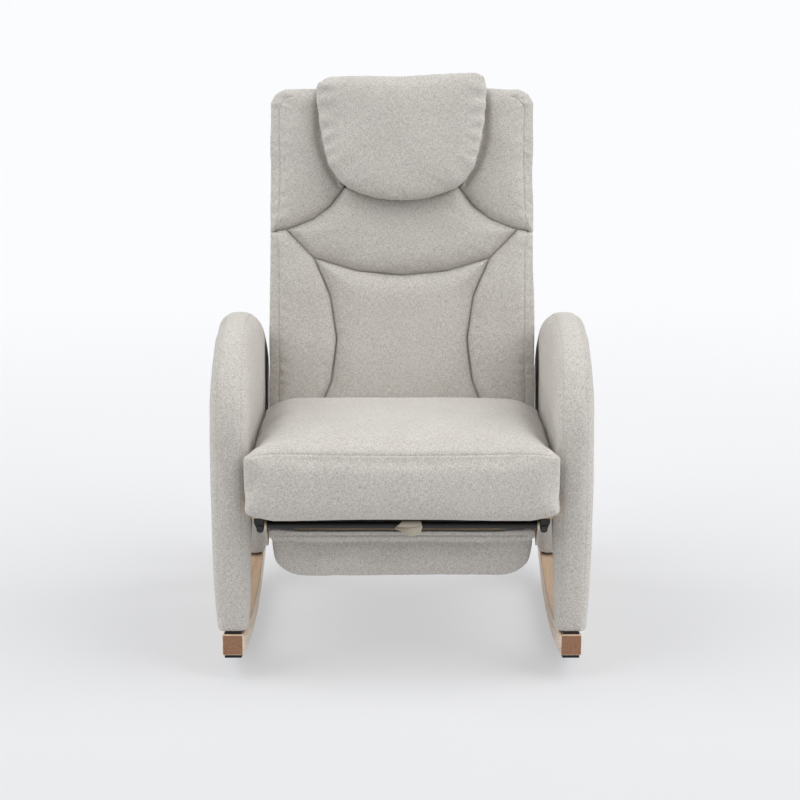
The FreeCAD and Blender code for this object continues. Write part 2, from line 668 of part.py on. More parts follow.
def rest_parts():
    near = BAR_Y + REST_NEAR
    far = near + REST_DEPTH
    board_ys = (near + 6.0, far - 10.0)
    board = box((10.0 - REST_HALF, REST_HALF - 10.0), board_ys, (REST_TOP - BOARD - 1.0, REST_TOP - 1.0))
    pad = box((-REST_HALF, REST_HALF), (near, far), (REST_BOTTOM, REST_TOP))

    def lower_ends(edge):
        bound = edge.BoundBox
        low = bound.ZMax < REST_BOTTOM + 0.01
        along_y = bound.XMax - bound.XMin < 0.01
        return low and along_y

    def far_low(edge):
        bound = edge.BoundBox
        return bound.ZMax < REST_BOTTOM + 40.0 and bound.YMin > far - 0.01

    pad = fillet_where(pad, 38.0, lower_ends)
    pad = fillet_where(pad, 26.0, far_low)
    pad = pad.cut(board)
    screws = []
    for name, side in SIDES.items():
        xs = span(side, *LINK_XS)
        eye = (BAR_Y, BAR_Z)
        knee = (BAR_Y + 42.0, 236.0)
        link = fuse([rod((xs[0], *eye), (xs[1], *eye), LINK_EYE_R),
                     stadium(eye, knee, 8.0, xs),
                     stadium(knee, LINK_SCREWS[1], 8.0, xs),
                     stadium(LINK_SCREWS[0], LINK_SCREWS[1], 7.0, xs),
                     slab([knee, *LINK_SCREWS], xs)])
        link = link.cut(rod((xs[0] - 1.0, *eye), (xs[1] + 1.0, *eye), BAR_R + RUN))
        for y, z in LINK_SCREWS:
            shank = rod((side * (REST_HALF - 22.0), y, z), (side * LINK_XS[1], y, z), 2.5)
            head = rod((side * LINK_XS[1], y, z), (side * (LINK_XS[1] + 2.0), y, z), 5.0)
            screw = fuse([shank, head])
            screws.append(screw)
            link = link.cut(screw)
            board = board.cut(screw)
            pad = pad.cut(screw)
        export("footrest_link_" + name, link)
    export("footrest_board", board)
    export("footrest_pad", pad)
    export("link_screws", group(screws))


def main():
    os.makedirs("parts", exist_ok=True)
    rocker_parts()
    arm_parts()
    seat_parts()
    hinge_parts()
    back_frame_parts()
    back_cushion_parts()
    pillow_parts()
    carriage_parts()
    rest_parts()


main()
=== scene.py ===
"""Looks of an upholstered rocking recliner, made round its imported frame.

The cushions and padded covers start from their own solids, are filled by a cloth pressure run,
and then get their sewn seams, puckers and stitches.  Metres, +Z up, the front is -Y.
"""

import json
import math

import bmesh
import bpy
import numpy as np
from bpy.props import FloatProperty, FloatVectorProperty, IntProperty, PointerProperty
from mathutils import Matrix, Vector
from mathutils.bvhtree import BVHTree


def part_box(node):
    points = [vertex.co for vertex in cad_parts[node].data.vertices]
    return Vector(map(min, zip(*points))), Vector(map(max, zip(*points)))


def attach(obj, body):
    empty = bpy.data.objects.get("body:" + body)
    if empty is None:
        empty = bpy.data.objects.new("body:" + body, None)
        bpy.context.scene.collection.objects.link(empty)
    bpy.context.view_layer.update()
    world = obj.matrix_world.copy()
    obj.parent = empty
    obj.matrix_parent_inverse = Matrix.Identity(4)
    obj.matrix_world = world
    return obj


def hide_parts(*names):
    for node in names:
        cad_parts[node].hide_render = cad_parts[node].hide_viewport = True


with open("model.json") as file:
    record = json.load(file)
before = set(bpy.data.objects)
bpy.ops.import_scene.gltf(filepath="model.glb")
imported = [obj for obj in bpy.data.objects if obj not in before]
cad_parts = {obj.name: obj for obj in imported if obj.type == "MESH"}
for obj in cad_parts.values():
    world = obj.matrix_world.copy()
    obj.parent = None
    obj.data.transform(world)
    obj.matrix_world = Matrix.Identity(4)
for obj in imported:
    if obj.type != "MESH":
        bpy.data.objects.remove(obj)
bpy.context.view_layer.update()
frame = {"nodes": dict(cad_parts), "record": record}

bl_info = {
    "name": "Rocking recliner",
    "version": (1, 0, 0),
    "blender": (4, 5, 0),
    "location": "3D View > Sidebar > Recliner",
    "description": "Builds the upholstery, rockers and fittings of a rocking recliner on its frame",
    "category": "Add Mesh",
}

BASE = "chair_base"
BACK = "back"
CARRIAGE = "footrest_carriage"
REST = "footrest"
SIDES = {"left": -1.0, "right": 1.0}

# The back's own frame: where its hinge stands, and how far it leans from upright.
HINGE = next(Vector(joint["pos_m"]) for joint in frame["record"]["behaviour"]["joints"]
             if joint["name"] == "back_recline")
LEAN = math.radians(18.0)
TO_BACK = Matrix.Rotation(LEAN, 4, "X") @ Matrix.Translation(-HINGE)
FROM_BACK = TO_BACK.inverted()


# ------------------------------------------------------------------ settings
class ReclinerClothSettings(bpy.types.PropertyGroup):
    """Colours and make of the upholstery."""

    light_yarn: FloatVectorProperty(
        name="Light yarn", description="Colour of the lighter threads", subtype="COLOR",
        size=3, min=0.0, max=1.0, default=(0.72, 0.688, 0.645))
    dark_yarn: FloatVectorProperty(
        name="Dark yarn", description="Colour of the darker threads", subtype="COLOR",
        size=3, min=0.0, max=1.0, default=(0.43, 0.404, 0.370))
    thread_pitch: FloatProperty(
        name="Thread pitch", description="Distance from one thread to the next", subtype="DISTANCE",
        unit="LENGTH", min=0.0003, max=0.005, default=0.0013)
    voxel: FloatProperty(
        name="Cloth grid", description="Spacing of the cloth's points when a cushion is filled",
        subtype="DISTANCE", unit="LENGTH", min=0.003, max=0.02, default=0.0055)
    pressure: FloatProperty(
        name="Filling pressure", description="How hard the filling pushes the cover out",
        min=0.0, max=20.0, default=4.0)
    frames: IntProperty(
        name="Filling steps", description="Steps of the cloth run", min=1, max=60, default=20)


class ReclinerFittingSettings(bpy.types.PropertyGroup):
    """Colours of the wood and metal."""

    rocker_oak: FloatVectorProperty(
        name="Rocker wood", description="Colour of the rockers' sides", subtype="COLOR",
        size=3, min=0.0, max=1.0, default=(0.80, 0.68, 0.545))
    rocker_grain: FloatVectorProperty(
        name="Rocker grain", description="Colour of the rockers' dark grain", subtype="COLOR",
        size=3, min=0.0, max=1.0, default=(0.40, 0.27, 0.17))
    black_coat: FloatVectorProperty(
        name="Black coat", description="Colour of the powder-coated tubes and brackets",
        subtype="COLOR", size=3, min=0.0, max=1.0, default=(0.005, 0.005, 0.0055))
    zinc: FloatVectorProperty(
        name="Zinc", description="Colour of the plated links and screws", subtype="COLOR",
        size=3, min=0.0, max=1.0, default=(0.56, 0.49, 0.40))


class ReclinerStageSettings(bpy.types.PropertyGroup):
    """Camera and light."""

    distance: FloatProperty(
        name="Camera distance", description="From the camera to the chair's origin along the floor",
        subtype="DISTANCE", unit="LENGTH", min=1.0, max=20.0, default=3.927)
    height: FloatProperty(
        name="Camera height", description="Height of the camera above the floor",
        subtype="DISTANCE", unit="LENGTH", min=0.1, max=5.0, default=1.333)
    pitch: FloatProperty(
        name="Camera pitch", description="How far the camera looks down", subtype="ANGLE",
        unit="ROTATION", min=0.0, max=1.5, default=math.radians(13.0))
    lens: FloatProperty(
        name="Lens", description="Focal length on a 36 mm sensor, in millimetres",
        min=20.0, max=300.0, default=92.7)
    floor_colour: FloatVectorProperty(
        name="Floor", description="Colour of the studio floor under the chair", subtype="COLOR",
        size=3, min=0.0, max=1.0, default=(0.335, 0.3365, 0.342))
    floor_glow: FloatProperty(
        name="Floor glow", description="Light that the floor gives off by itself",
        min=0.0, max=5.0, default=1.12)
    air: FloatProperty(
        name="Air light", description="Strength of the even light from all round",
        min=0.0, max=5.0, default=0.40)
    overhead: FloatProperty(
        name="Overhead lights", description="Strength of each of the two wide lights from above",
        min=0.0, max=20.0, default=1.86)
    side_fill: FloatProperty(
        name="Side fill", description="Power of the softbox on the right", subtype="POWER",
        unit="POWER", min=0.0, max=500.0, default=10.0)


def cloth_settings():
    return bpy.context.scene.recliner_cloth


def fitting_settings():
    return bpy.context.scene.recliner_fittings


def stage_settings():
    return bpy.context.scene.recliner_stage


# ------------------------------------------------------------------ modelling helpers
def only(piece):
    """Select one object and make it active, in object mode."""
    if bpy.context.object and bpy.context.object.mode != "OBJECT":
        bpy.ops.object.mode_set(mode="OBJECT")
    bpy.ops.object.select_all(action="DESELECT")
    piece.select_set(True)
    bpy.context.view_layer.objects.active = piece


def apply_modifier(piece, kind, name, **values):
    """Add a modifier, set it and apply it."""
    only(piece)
    modifier = piece.modifiers.new(name, kind)
    for key, value in values.items():
        setattr(modifier, key, value)
    bpy.ops.object.modifier_apply(modifier=name)


def edit_all(piece, *steps):
    """Run edit-mode operators with everything in the piece selected."""
    only(piece)
    bpy.ops.object.mode_set(mode="EDIT")
    bpy.ops.mesh.select_all(action="SELECT")
    for step, values in steps:
        step(**values)
    bpy.ops.object.mode_set(mode="OBJECT")


def copy_of_node(node, name):
    """Welded copy of a CAD node's mesh, as a new piece with no material."""
    source = frame["nodes"][node]
    piece = bpy.data.objects.new(name, source.data.copy())
    bpy.context.scene.collection.objects.link(piece)
    piece.data.name = name
    piece.data.materials.clear()
    edit_all(piece, (bpy.ops.mesh.remove_doubles, {"threshold": 0.00002}))
    return piece


def points_of(piece):
    """Vertex places as an array."""
    flat = np.empty(len(piece.data.vertices) * 3)
    piece.data.vertices.foreach_get("co", flat)
    return flat.reshape(-1, 3)


def put_points(piece, places):
    piece.data.vertices.foreach_set("co", np.ascontiguousarray(places).ravel())
    piece.data.update()


def normals_of(piece):
    flat = np.empty(len(piece.data.vertices) * 3)
    piece.data.vertices.foreach_get("normal", flat)
    return flat.reshape(-1, 3)


def moved(places, matrix):
    """Places turned and shifted by a 4x4 matrix."""
    turn = np.array(matrix.to_3x3())
    return places @ turn.T + np.array(matrix.translation)


def finish_piece(piece, body, material, smooth=True):
    """Material, shading, body and slot of a new piece."""
    piece.data.materials.clear()
    piece.data.materials.append(material)
    if smooth:
        only(piece)
        bpy.ops.object.shade_smooth()
    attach(piece, body)
    return piece


# ------------------------------------------------------------------ filling a cushion
def fill_cushion(piece, cap, shrink=0.0035, spread=None, axis=None, voxel_share=1.0):
    """Remesh a plain solid, blow it up as cloth, and limit how far each point moves.

    cap limits the move of every point, and spread the part of it that is square to axis."""
    settings = cloth_settings()
    apply_modifier(piece, "REMESH", "grid", mode="VOXEL", voxel_size=settings.voxel * voxel_share)
    edit_all(piece, (bpy.ops.transform.shrink_fatten, {"value": -shrink}))
    before = points_of(piece)
    only(piece)
    cloth = piece.modifiers.new("filling", "CLOTH")
    cloth.settings.quality = 4
    cloth.settings.mass = 0.3
    cloth.settings.tension_stiffness = 25.0
    cloth.settings.compression_stiffness = 25.0
    cloth.settings.shear_stiffness = 15.0
    cloth.settings.bending_stiffness = 2.0
    cloth.settings.air_damping = 2.0
    cloth.settings.use_pressure = True
    cloth.settings.uniform_pressure_force = settings.pressure
    cloth.settings.effector_weights.gravity = 0.0
    cloth.collision_settings.use_collision = False
    cloth.point_cache.frame_start = 1
    cloth.point_cache.frame_end = settings.frames
    for step in range(1, settings.frames + 1):
        bpy.context.scene.frame_set(step)
    bpy.ops.object.modifier_apply(modifier="filling")
    bpy.context.scene.frame_set(1)
    shift = points_of(piece) - before
    if spread is not None:
        along = shift @ np.array(axis)
        across = shift - along[:, None] * np.array(axis)
        reach = np.linalg.norm(across, axis=1, keepdims=True)
        across *= np.minimum(1.0, spread / np.maximum(reach, 1e-9))
        shift = across + along[:, None] * np.array(axis)
    length = np.linalg.norm(shift, axis=1, keepdims=True)
    shift *= cap / (cap + length)
    put_points(piece, before + shift)
    apply_modifier(piece, "SMOOTH", "ease", factor=0.5, iterations=2)
    return piece


def hug(piece, node, start, full):
    """Bring the part of a back cushion behind its rounded front out to its own solid's side walls.

    The pull grows from none at the depth start to all of the way at the depth full."""
    source = frame["nodes"][node].data
    tree = BVHTree.FromPolygons([v.co for v in source.vertices], [f.vertices for f in source.polygons])
    places = moved(points_of(piece), TO_BACK)
    for index, place in enumerate(places):
        share = (place[1] - start) / (full - start)
        if share <= 0.0:
            continue
        spot, normal, _, _ = tree.find_nearest(FROM_BACK @ Vector(place))
        spot = TO_BACK @ spot
        normal = TO_BACK.to_3x3() @ normal
        if abs(normal.y) < 0.5 and (Vector(place) - spot).length < 0.012:
            share = min(1.0, share)
            places[index][0] += share * (spot.x - place[0])
            places[index][2] += share * (spot.z - place[2])
    put_points(piece, moved(places, FROM_BACK))


def finer(piece):
    """One level of subdivision."""
    apply_modifier(piece, "SUBSURF", "finer", levels=1, render_levels=1)


def swell(places, pitch, seed):
    """Slow, uneven rise and fall over a surface, from -1 to 1, from a few fixed waves."""
    total = np.zeros(len(places))
    source = np.random.RandomState(seed)
    for _ in range(7):
        direction = source.normal(size=3)
        direction /= np.linalg.norm(direction)
        phase = source.uniform(0.0, 2 * math.pi)
        wave = 2 * math.pi / (pitch * source.uniform(0.7, 1.6))
        total += np.sin(places @ direction * wave + phase)
    return total / 4.0


def near_line(places, line):
    """Distance of each place to a line of points, and how far along the line it is."""
    best = np.full(len(places), 1e9)
    along = np.zeros(len(places))
    start = 0.0
    for a, b in zip(line[:-1], line[1:]):
        run = b - a
        length = np.linalg.norm(run)
        if length < 1e-9:
            continue
        share = np.clip((places - a) @ run / length ** 2, 0.0, 1.0)
        gap = np.linalg.norm(places - (a + share[:, None] * run), axis=1)
        closer = gap < best
        best[closer] = gap[closer]
        along[closer] = start + share[closer] * length
        start += length
    return best, along


def along_line(points, shares):
    """Places at equal shares of the way along a line of points."""
    points = np.array(points)
    marks = np.linspace(0.0, 1.0, len(points))
    return np.stack([np.interp(shares, marks, points[:, axis]) for axis in range(points.shape[1])], axis=-1)


def on_surface(piece, line):
    """The points of a line moved onto a piece's surface."""
    found = [piece.closest_point_on_mesh(Vector(place)) for place in line]
    return [np.array(spot) for hit, spot, _, _ in found if hit]


def refine_near(piece, line, reach, cuts=2):
    """Cut the faces near a line into smaller ones, so that a narrow seam has shape."""
    only(piece)
    bpy.ops.object.mode_set(mode="EDIT")
    bpy.ops.mesh.select_mode(type="FACE")
    bpy.ops.mesh.select_all(action="DESELECT")
    bpy.ops.object.mode_set(mode="OBJECT")
    centres = np.array([face.center for face in piece.data.polygons])
    gap, _ = near_line(centres, np.array(line))
    piece.data.polygons.foreach_set("select", gap < reach)
    bpy.ops.object.mode_set(mode="EDIT")
    bpy.ops.mesh.subdivide(number_cuts=cuts, smoothness=0.0)
    bpy.ops.object.mode_set(mode="OBJECT")


def sew(piece, line, depth, width=0.0016, pucker=0.0, pucker_pitch=0.022, reach=0.03, seed=1):
    """Pull a sewn seam into a cover along a line of points, with puckers beside it.

    Returns the seam's points on the cover."""
    line = on_surface(piece, line)
    refine_near(piece, line, 0.007)
    places = points_of(piece)
    normals = normals_of(piece)
    gap, along = near_line(places, np.array(line))
    pull = depth * (0.65 * np.exp(-(gap / width) ** 2) + 0.35 * np.exp(-(gap / (4 * width)) ** 2))
    if pucker:
        uneven = swell(places, 0.09, seed)
        finer_uneven = swell(places, 0.035, seed + 100)
        wave = np.sin(2 * math.pi * along / pucker_pitch + 3.0 * uneven) + 0.7 * finer_uneven
        fade = np.exp(-(gap / reach) ** 2) * (1 - np.exp(-(gap / 0.004) ** 2))
        pull = pull + pucker * wave * (0.55 + 0.45 * uneven) * fade
    put_points(piece, places - normals * pull[:, None])
    return line


def soften(piece, amount, pitch, seed):
    """Uneven filling under the cover."""
    places = points_of(piece)
    put_points(piece, places + normals_of(piece) * (amount * swell(places, pitch, seed))[:, None])


def mirror_piece(piece, name):
    """Mirrored copy of a piece across the middle of the chair."""
    twin = bpy.data.objects.new(name, piece.data.copy())
    bpy.context.scene.collection.objects.link(twin)
    twin.data.name = name
    places = points_of(twin)
    places[:, 0] *= -1.0
    put_points(twin, places)
    edit_all(twin, (bpy.ops.mesh.flip_normals, {}))
    return twin


def stitch_row(name, piece, line, body, material, pitch=0.0062, length=0.0036, radius=0.00045):
    """A row of stitches lying on a piece along a line of points."""
    line = np.array(line)
    lengths = np.linalg.norm(np.diff(line, axis=0), axis=1)
    total = lengths.sum()
    count = int(total / pitch)
    marks = np.concatenate([[0.0], np.cumsum(lengths)])
    wanted = (np.arange(count) + 0.5) * pitch
    samples = np.stack([np.interp(wanted, marks, line[:, axis]) for axis in range(3)], axis=1)
    ahead = np.stack([np.interp(wanted + 0.001, marks, line[:, axis]) for axis in range(3)], axis=1)
    mesh = bpy.data.meshes.new(name)
    build = bmesh.new()
    for spot, next_spot in zip(samples, ahead):
        hit, place, normal, _ = piece.closest_point_on_mesh(Vector(spot))
        if not hit:
            continue
        direction = Vector(next_spot - spot)
        direction -= normal * direction.dot(normal)
        if direction.length < 1e-7:
            continue
        direction.normalize()
        across = normal.cross(direction)
        turn = Matrix((direction, across, normal)).transposed().to_4x4()
        shape = Matrix.Diagonal((length / 2, radius, radius, 1.0))
        matrix = Matrix.Translation(place + normal * radius * 0.3) @ turn @ shape
        bmesh.ops.create_icosphere(build, subdivisions=1, radius=1.0, matrix=matrix)
    build.to_mesh(mesh)
    build.free()
    row = bpy.data.objects.new(name, mesh)
    bpy.context.scene.collection.objects.link(row)
    return finish_piece(row, body, material)


# ------------------------------------------------------------------ materials
def new_material(name):
    """Material with a bare Principled shader; returns it with its node tree and shader."""
    material = bpy.data.materials.new(name)
    material.use_nodes = True
    tree = material.node_tree
    shader = tree.nodes["Principled BSDF"]
    return material, tree, shader


def node(tree, kind, inputs=None, **values):
    """Add a node, set its properties and plain inputs."""
    made = tree.nodes.new(kind)
    for key, value in values.items():
        setattr(made, key, value)
    for key, value in (inputs or {}).items():
        made.inputs[key].default_value = value
    return made


def math_node(tree, operation, first, second=None, third=None):
    """Math node from sockets or numbers; returns its output."""
    made = tree.nodes.new("ShaderNodeMath")
    made.operation = operation
    for index, value in enumerate((first, second, third)):
        if value is None:
            continue
        if isinstance(value, (int, float)):
            made.inputs[index].default_value = value
        else:
            tree.links.new(value, made.inputs[index])
    return made.outputs[0]


def ramp(tree, factor, stops):
    """Colour ramp from (place, colour) stops."""
    made = tree.nodes.new("ShaderNodeValToRGB")
    elements = made.color_ramp.elements
    while len(elements) < len(stops):
        elements.new(0.5)
    for element, (place, colour) in zip(elements, stops):
        element.position = place
        element.color = (*colour, 1.0)
    tree.links.new(factor, made.inputs[0])
    return made.outputs[0]


def mix_colour(tree, factor, first, second, blend="MIX"):
    """Mix two colours, each a socket or a plain colour."""
    made = tree.nodes.new("ShaderNodeMix")
    made.data_type = "RGBA"
    made.blend_type = blend
    for socket, value in ((made.inputs[0], factor), (made.inputs[6], first), (made.inputs[7], second)):
        if isinstance(value, (int, float)):
            socket.default_value = value
        elif isinstance(value, (tuple, list)):
            socket.default_value = (*value, 1.0)
        else:
            tree.links.new(value, socket)
    return made.outputs[2]


def object_place(tree, turn=(0.0, 0.0, 0.0), scale=(1.0, 1.0, 1.0)):
    """Object coordinates through a Mapping node."""
    source = tree.nodes.new("ShaderNodeTexCoord")
    mapping = node(tree, "ShaderNodeMapping", {"Rotation": turn, "Scale": scale})
    tree.links.new(source.outputs["Object"], mapping.inputs["Vector"])
    return mapping.outputs[0], source


def noise(tree, vector, scale, detail=2.0, roughness=0.5):
    """Noise texture's value."""
    made = node(tree, "ShaderNodeTexNoise", {"Scale": scale, "Detail": detail, "Roughness": roughness})
    tree.links.new(vector, made.inputs["Vector"])
    return made.outputs[0]


def weighted(tree, first, first_share, second, second_share):
    """Sum of two sockets, each times its share."""
    return math_node(tree, "ADD", math_node(tree, "MULTIPLY", first, first_share),
                     math_node(tree, "MULTIPLY", second, second_share))


def stretched(tree, sockets, scales):
    """Vector from two or three sockets, each times its own scale."""
    made = node(tree, "ShaderNodeCombineXYZ")
    for index, (socket, scale) in enumerate(zip(sockets, scales)):
        tree.links.new(math_node(tree, "MULTIPLY", socket, scale), made.inputs[index])
    return made.outputs[0]


def axes_of(tree, vector):
    """X, Y and Z sockets of a vector."""
    split = node(tree, "ShaderNodeSeparateXYZ")
    tree.links.new(vector, split.inputs[0])
    return split.outputs


def bump(tree, height, strength, distance, under=None):
    """Bump from a height, on top of another bump if one is given."""
    made = node(tree, "ShaderNodeBump", {"Strength": strength, "Distance": distance})
    tree.links.new(height, made.inputs["Height"])
    if under is not None:
        tree.links.new(under, made.inputs["Normal"])
    return made.outputs[0]


def facing_along(tree, direction, limit):
    """1 where a face's direction along one axis is past the limit, either way."""
    return math_node(tree, "GREATER_THAN", math_node(tree, "ABSOLUTE", direction), limit)


def upholstery_material(name, lean, light, dark):
    """Melange linen weave: crossing threads of two yarns, uneven thickness and soft mottling."""
    pitch = cloth_settings().thread_pitch
    material, tree, shader = new_material(name)
    place, source = object_place(tree, turn=(lean, 0.0, 0.0))
    facing = node(tree, "ShaderNodeMapping", {"Rotation": (lean, 0.0, 0.0)})
    tree.links.new(source.outputs["Normal"], facing.inputs["Vector"])
    x, y, z = axes_of(tree, place)
    side = axes_of(tree, facing.outputs[0])
    on_side = facing_along(tree, side[0], 0.62)
    on_top = facing_along(tree, side[2], 0.72)

    def choose(factor, low, high):
        made = tree.nodes.new("ShaderNodeMix")
        for socket, value in zip((made.inputs[0], made.inputs[2], made.inputs[3]), (factor, low, high)):
            tree.links.new(value, socket)
        return made.outputs[0]

    across = choose(on_side, x, y)
    upward = choose(on_top, z, y)
    waver = noise(tree, place, 55.0, 2.0)
    turns = 2 * math.pi / pitch
    threads = []
    for socket, drift in ((across, 9.0), (upward, -9.0)):
        bend = math_node(tree, "MULTIPLY", waver, drift)
        threads.append(math_node(tree, "SINE", math_node(tree, "MULTIPLY_ADD", socket, turns, bend)))
    over = math_node(tree, "MULTIPLY", *threads)
    streaks = [noise(tree, stretched(tree, (across, upward), scales), 1.0, 1.0)
               for scales in ((130.0, 900.0), (900.0, 130.0))]
    grain = weighted(tree, streaks[0], 0.5, streaks[1], 0.5)
    speck = noise(tree, place, 480.0, 3.0, 0.75)
    melange = weighted(tree, grain, 0.45, speck, 0.55)
    melange = math_node(tree, "ADD", melange, math_node(tree, "MULTIPLY", over, 0.035))
    middle = [(2 * a + 3 * b) / 5 for a, b in zip(dark, light)]
    yarn = ramp(tree, melange, [(0.41, dark), (0.50, middle), (0.59, light)])
    mottle = noise(tree, place, 14.0, 3.0, 0.6)
    shade = ramp(tree, mottle, [(0.25, (0.93, 0.925, 0.92)), (0.75, (1.0, 1.0, 1.0))])
    colour = mix_colour(tree, 1.0, yarn, shade, "MULTIPLY")
    tree.links.new(colour, shader.inputs["Base Color"])
    shader.inputs["Roughness"].default_value = 0.93
    shader.inputs["Specular IOR Level"].default_value = 0.22
    shader.inputs["Sheen Weight"].default_value = 0.22
    shader.inputs["Sheen Roughness"].default_value = 0.5
    weave = bump(tree, weighted(tree, over, 0.30, melange, 1.2), 0.55, 0.0007)
    soft = bump(tree, noise(tree, place, 42.0, 3.0, 0.55), 0.35, 0.003, under=weave)
    tree.links.new(soft, shader.inputs["Normal"])
    return material


def cloth_material(name, colour, pitch, roughness=0.95):
    """Plain woven cloth, such as webbing, dust cloth or the pull tab."""
    material, tree, shader = new_material(name)
    place, _ = object_place(tree)
    checks = node(tree, "ShaderNodeTexVoronoi", {"Scale": 1.0 / pitch})
    tree.links.new(place, checks.inputs["Vector"])
    fibre = noise(tree, place, 2.2 / pitch, 2.0)
    both = weighted(tree, checks.outputs[0], 0.7, fibre, 0.5)
    low = [0.72 * value for value in colour]
    tree.links.new(ramp(tree, both, [(0.3, low), (0.75, colour)]), shader.inputs["Base Color"])
    shader.inputs["Roughness"].default_value = roughness
    tree.links.new(bump(tree, both, 0.5, 0.0004), shader.inputs["Normal"])
    return material


def rocker_wood_material():
    """Oiled oak whose grain follows the rocker's curve, darker on the cut end grain, with painted shade on
    the top faces.
    """
    fittings = fitting_settings()
    material, tree, shader = new_material("rocker_oak")
    curve_centre_y, curve_radius = -0.04, 1.05
    source = tree.nodes.new("ShaderNodeTexCoord")
    place = axes_of(tree, source.outputs["Object"])
    ahead = math_node(tree, "SUBTRACT", place[1], curve_centre_y)
    down = math_node(tree, "SUBTRACT", curve_radius, place[2])
    reach = math_node(tree, "SQRT", math_node(tree, "ADD", math_node(tree, "MULTIPLY", ahead, ahead),
                                              math_node(tree, "MULTIPLY", down, down)))
    turn = math_node(tree, "MULTIPLY", math_node(tree, "ARCTAN2", ahead, down), curve_radius)
    with_grain = (place[0], turn, reach)
    bands = noise(tree, stretched(tree, with_grain, (26.0, 1.6, 26.0)), 3.0, 4.0, 0.6)
    pores = noise(tree, stretched(tree, with_grain, (1400.0, 60.0, 1400.0)), 1.0, 2.0, 0.5)
    light = list(fittings.rocker_oak)
    dark = list(fittings.rocker_grain)
    middle = [(a + b) / 2 for a, b in zip(light, dark)]
    pale = [min(1.0, 1.12 * value) for value in light]
    grain = ramp(tree, bands, [(0.32, middle), (0.52, light), (0.72, pale)])
    pore_tone = ramp(tree, pores, [(0.36, (0.62, 0.52, 0.44)), (0.50, (1.0, 1.0, 1.0))])
    wood = mix_colour(tree, 0.65, grain, pore_tone, "MULTIPLY")
    facing = axes_of(tree, source.outputs["Normal"])
    # Painted shade: faces that look up are mixed towards a deep brown, standing in for the shadow the seat
    # casts on the rockers' tops.
    upper = math_node(tree, "GREATER_THAN", facing[2], 0.6)
    wood = mix_colour(tree, math_node(tree, "MULTIPLY", upper, 0.55), wood, (0.40, 0.215, 0.10))
    ends = facing_along(tree, facing[1], 0.9)
    rings = ramp(tree, pores, [(0.36, (0.13, 0.058, 0.030)), (0.58, (0.40, 0.205, 0.115))])
    wood = mix_colour(tree, ends, wood, rings)
    tree.links.new(wood, shader.inputs["Base Color"])
    tree.links.new(math_node(tree, "MULTIPLY_ADD", pores, 0.25, 0.36), shader.inputs["Roughness"])
    tree.links.new(bump(tree, pores, 0.35, 0.0004), shader.inputs["Normal"])
    return material


def frame_wood_material():
    """Bare pale frame timber and plywood."""
    material, tree, shader = new_material("frame_timber")
    place, _ = object_place(tree, scale=(3.0, 3.0, 40.0))
    grain = noise(tree, place, 6.0, 4.0, 0.6)
    tone = ramp(tree, grain, [(0.3, (0.44, 0.30, 0.17)), (0.7, (0.66, 0.50, 0.32))])
    tree.links.new(tone, shader.inputs["Base Color"])
    shader.inputs["Roughness"].default_value = 0.7
    tree.links.new(bump(tree, grain, 0.3, 0.0005), shader.inputs["Normal"])
    return material


def coated_material(name, colour, metallic, roughness, texture_scale, bump_height, spread=0.5):
    """Powder coat, plastic, rubber or plating: even colour with a fine skin and uneven gloss."""
    material, tree, shader = new_material(name)
    place, _ = object_place(tree)
    skin = noise(tree, place, texture_scale, 3.0, 0.6)
    wear = noise(tree, place, 38.0, 4.0, 0.65)
    low = [value * (1.0 - 0.35 * spread) for value in colour]
    high = [min(1.0, value * (1.0 + 0.45 * spread) + 0.004) for value in colour]
    tree.links.new(ramp(tree, wear, [(0.3, low), (0.7, high)]), shader.inputs["Base Color"])
    tree.links.new(math_node(tree, "MULTIPLY_ADD", wear, 0.22, roughness - 0.11), shader.inputs["Roughness"])
    shader.inputs["Metallic"].default_value = metallic
    tree.links.new(bump(tree, skin, 0.4, bump_height), shader.inputs["Normal"])
    return material


MATERIALS = {}


def make_materials():
    """Every finish of the chair, made once."""
    cloth = cloth_settings()
    fittings = fitting_settings()
    light = list(cloth.light_yarn)
    dark = list(cloth.dark_yarn)
    MATERIALS["linen"] = upholstery_material("linen_upright", 0.0, light, dark)
    MATERIALS["linen_back"] = upholstery_material("linen_leaning", LEAN, light, dark)
    MATERIALS["thread"] = cloth_material("sewing_thread", (0.60, 0.56, 0.50), 0.0006)
    MATERIALS["tab"] = cloth_material("cream_tape", (0.72, 0.66, 0.55), 0.0011)
    MATERIALS["webbing"] = cloth_material("black_webbing", (0.05, 0.05, 0.05), 0.002)
    MATERIALS["dust_cloth"] = cloth_material("black_cambric", (0.03, 0.03, 0.032), 0.0012)
    MATERIALS["rocker"] = rocker_wood_material()
    MATERIALS["timber"] = frame_wood_material()
    # Finish: name, colour, metallic, roughness, grain of its skin, height of its skin.
    coats = {
        "black_coat": ("black_powder_coat", list(fittings.black_coat), 0.0, 0.42, 700.0, 0.0002),
        "zinc": ("zinc_plate", list(fittings.zinc), 1.0, 0.36, 900.0, 0.0001),
        "plastic": ("black_plastic", (0.02, 0.02, 0.021), 0.0, 0.5, 1200.0, 0.0001),
        "rubber": ("black_rubber", (0.011, 0.011, 0.011), 0.0, 0.85, 500.0, 0.0004),
    }
    for finish, values in coats.items():
        MATERIALS[finish] = coated_material(*values)


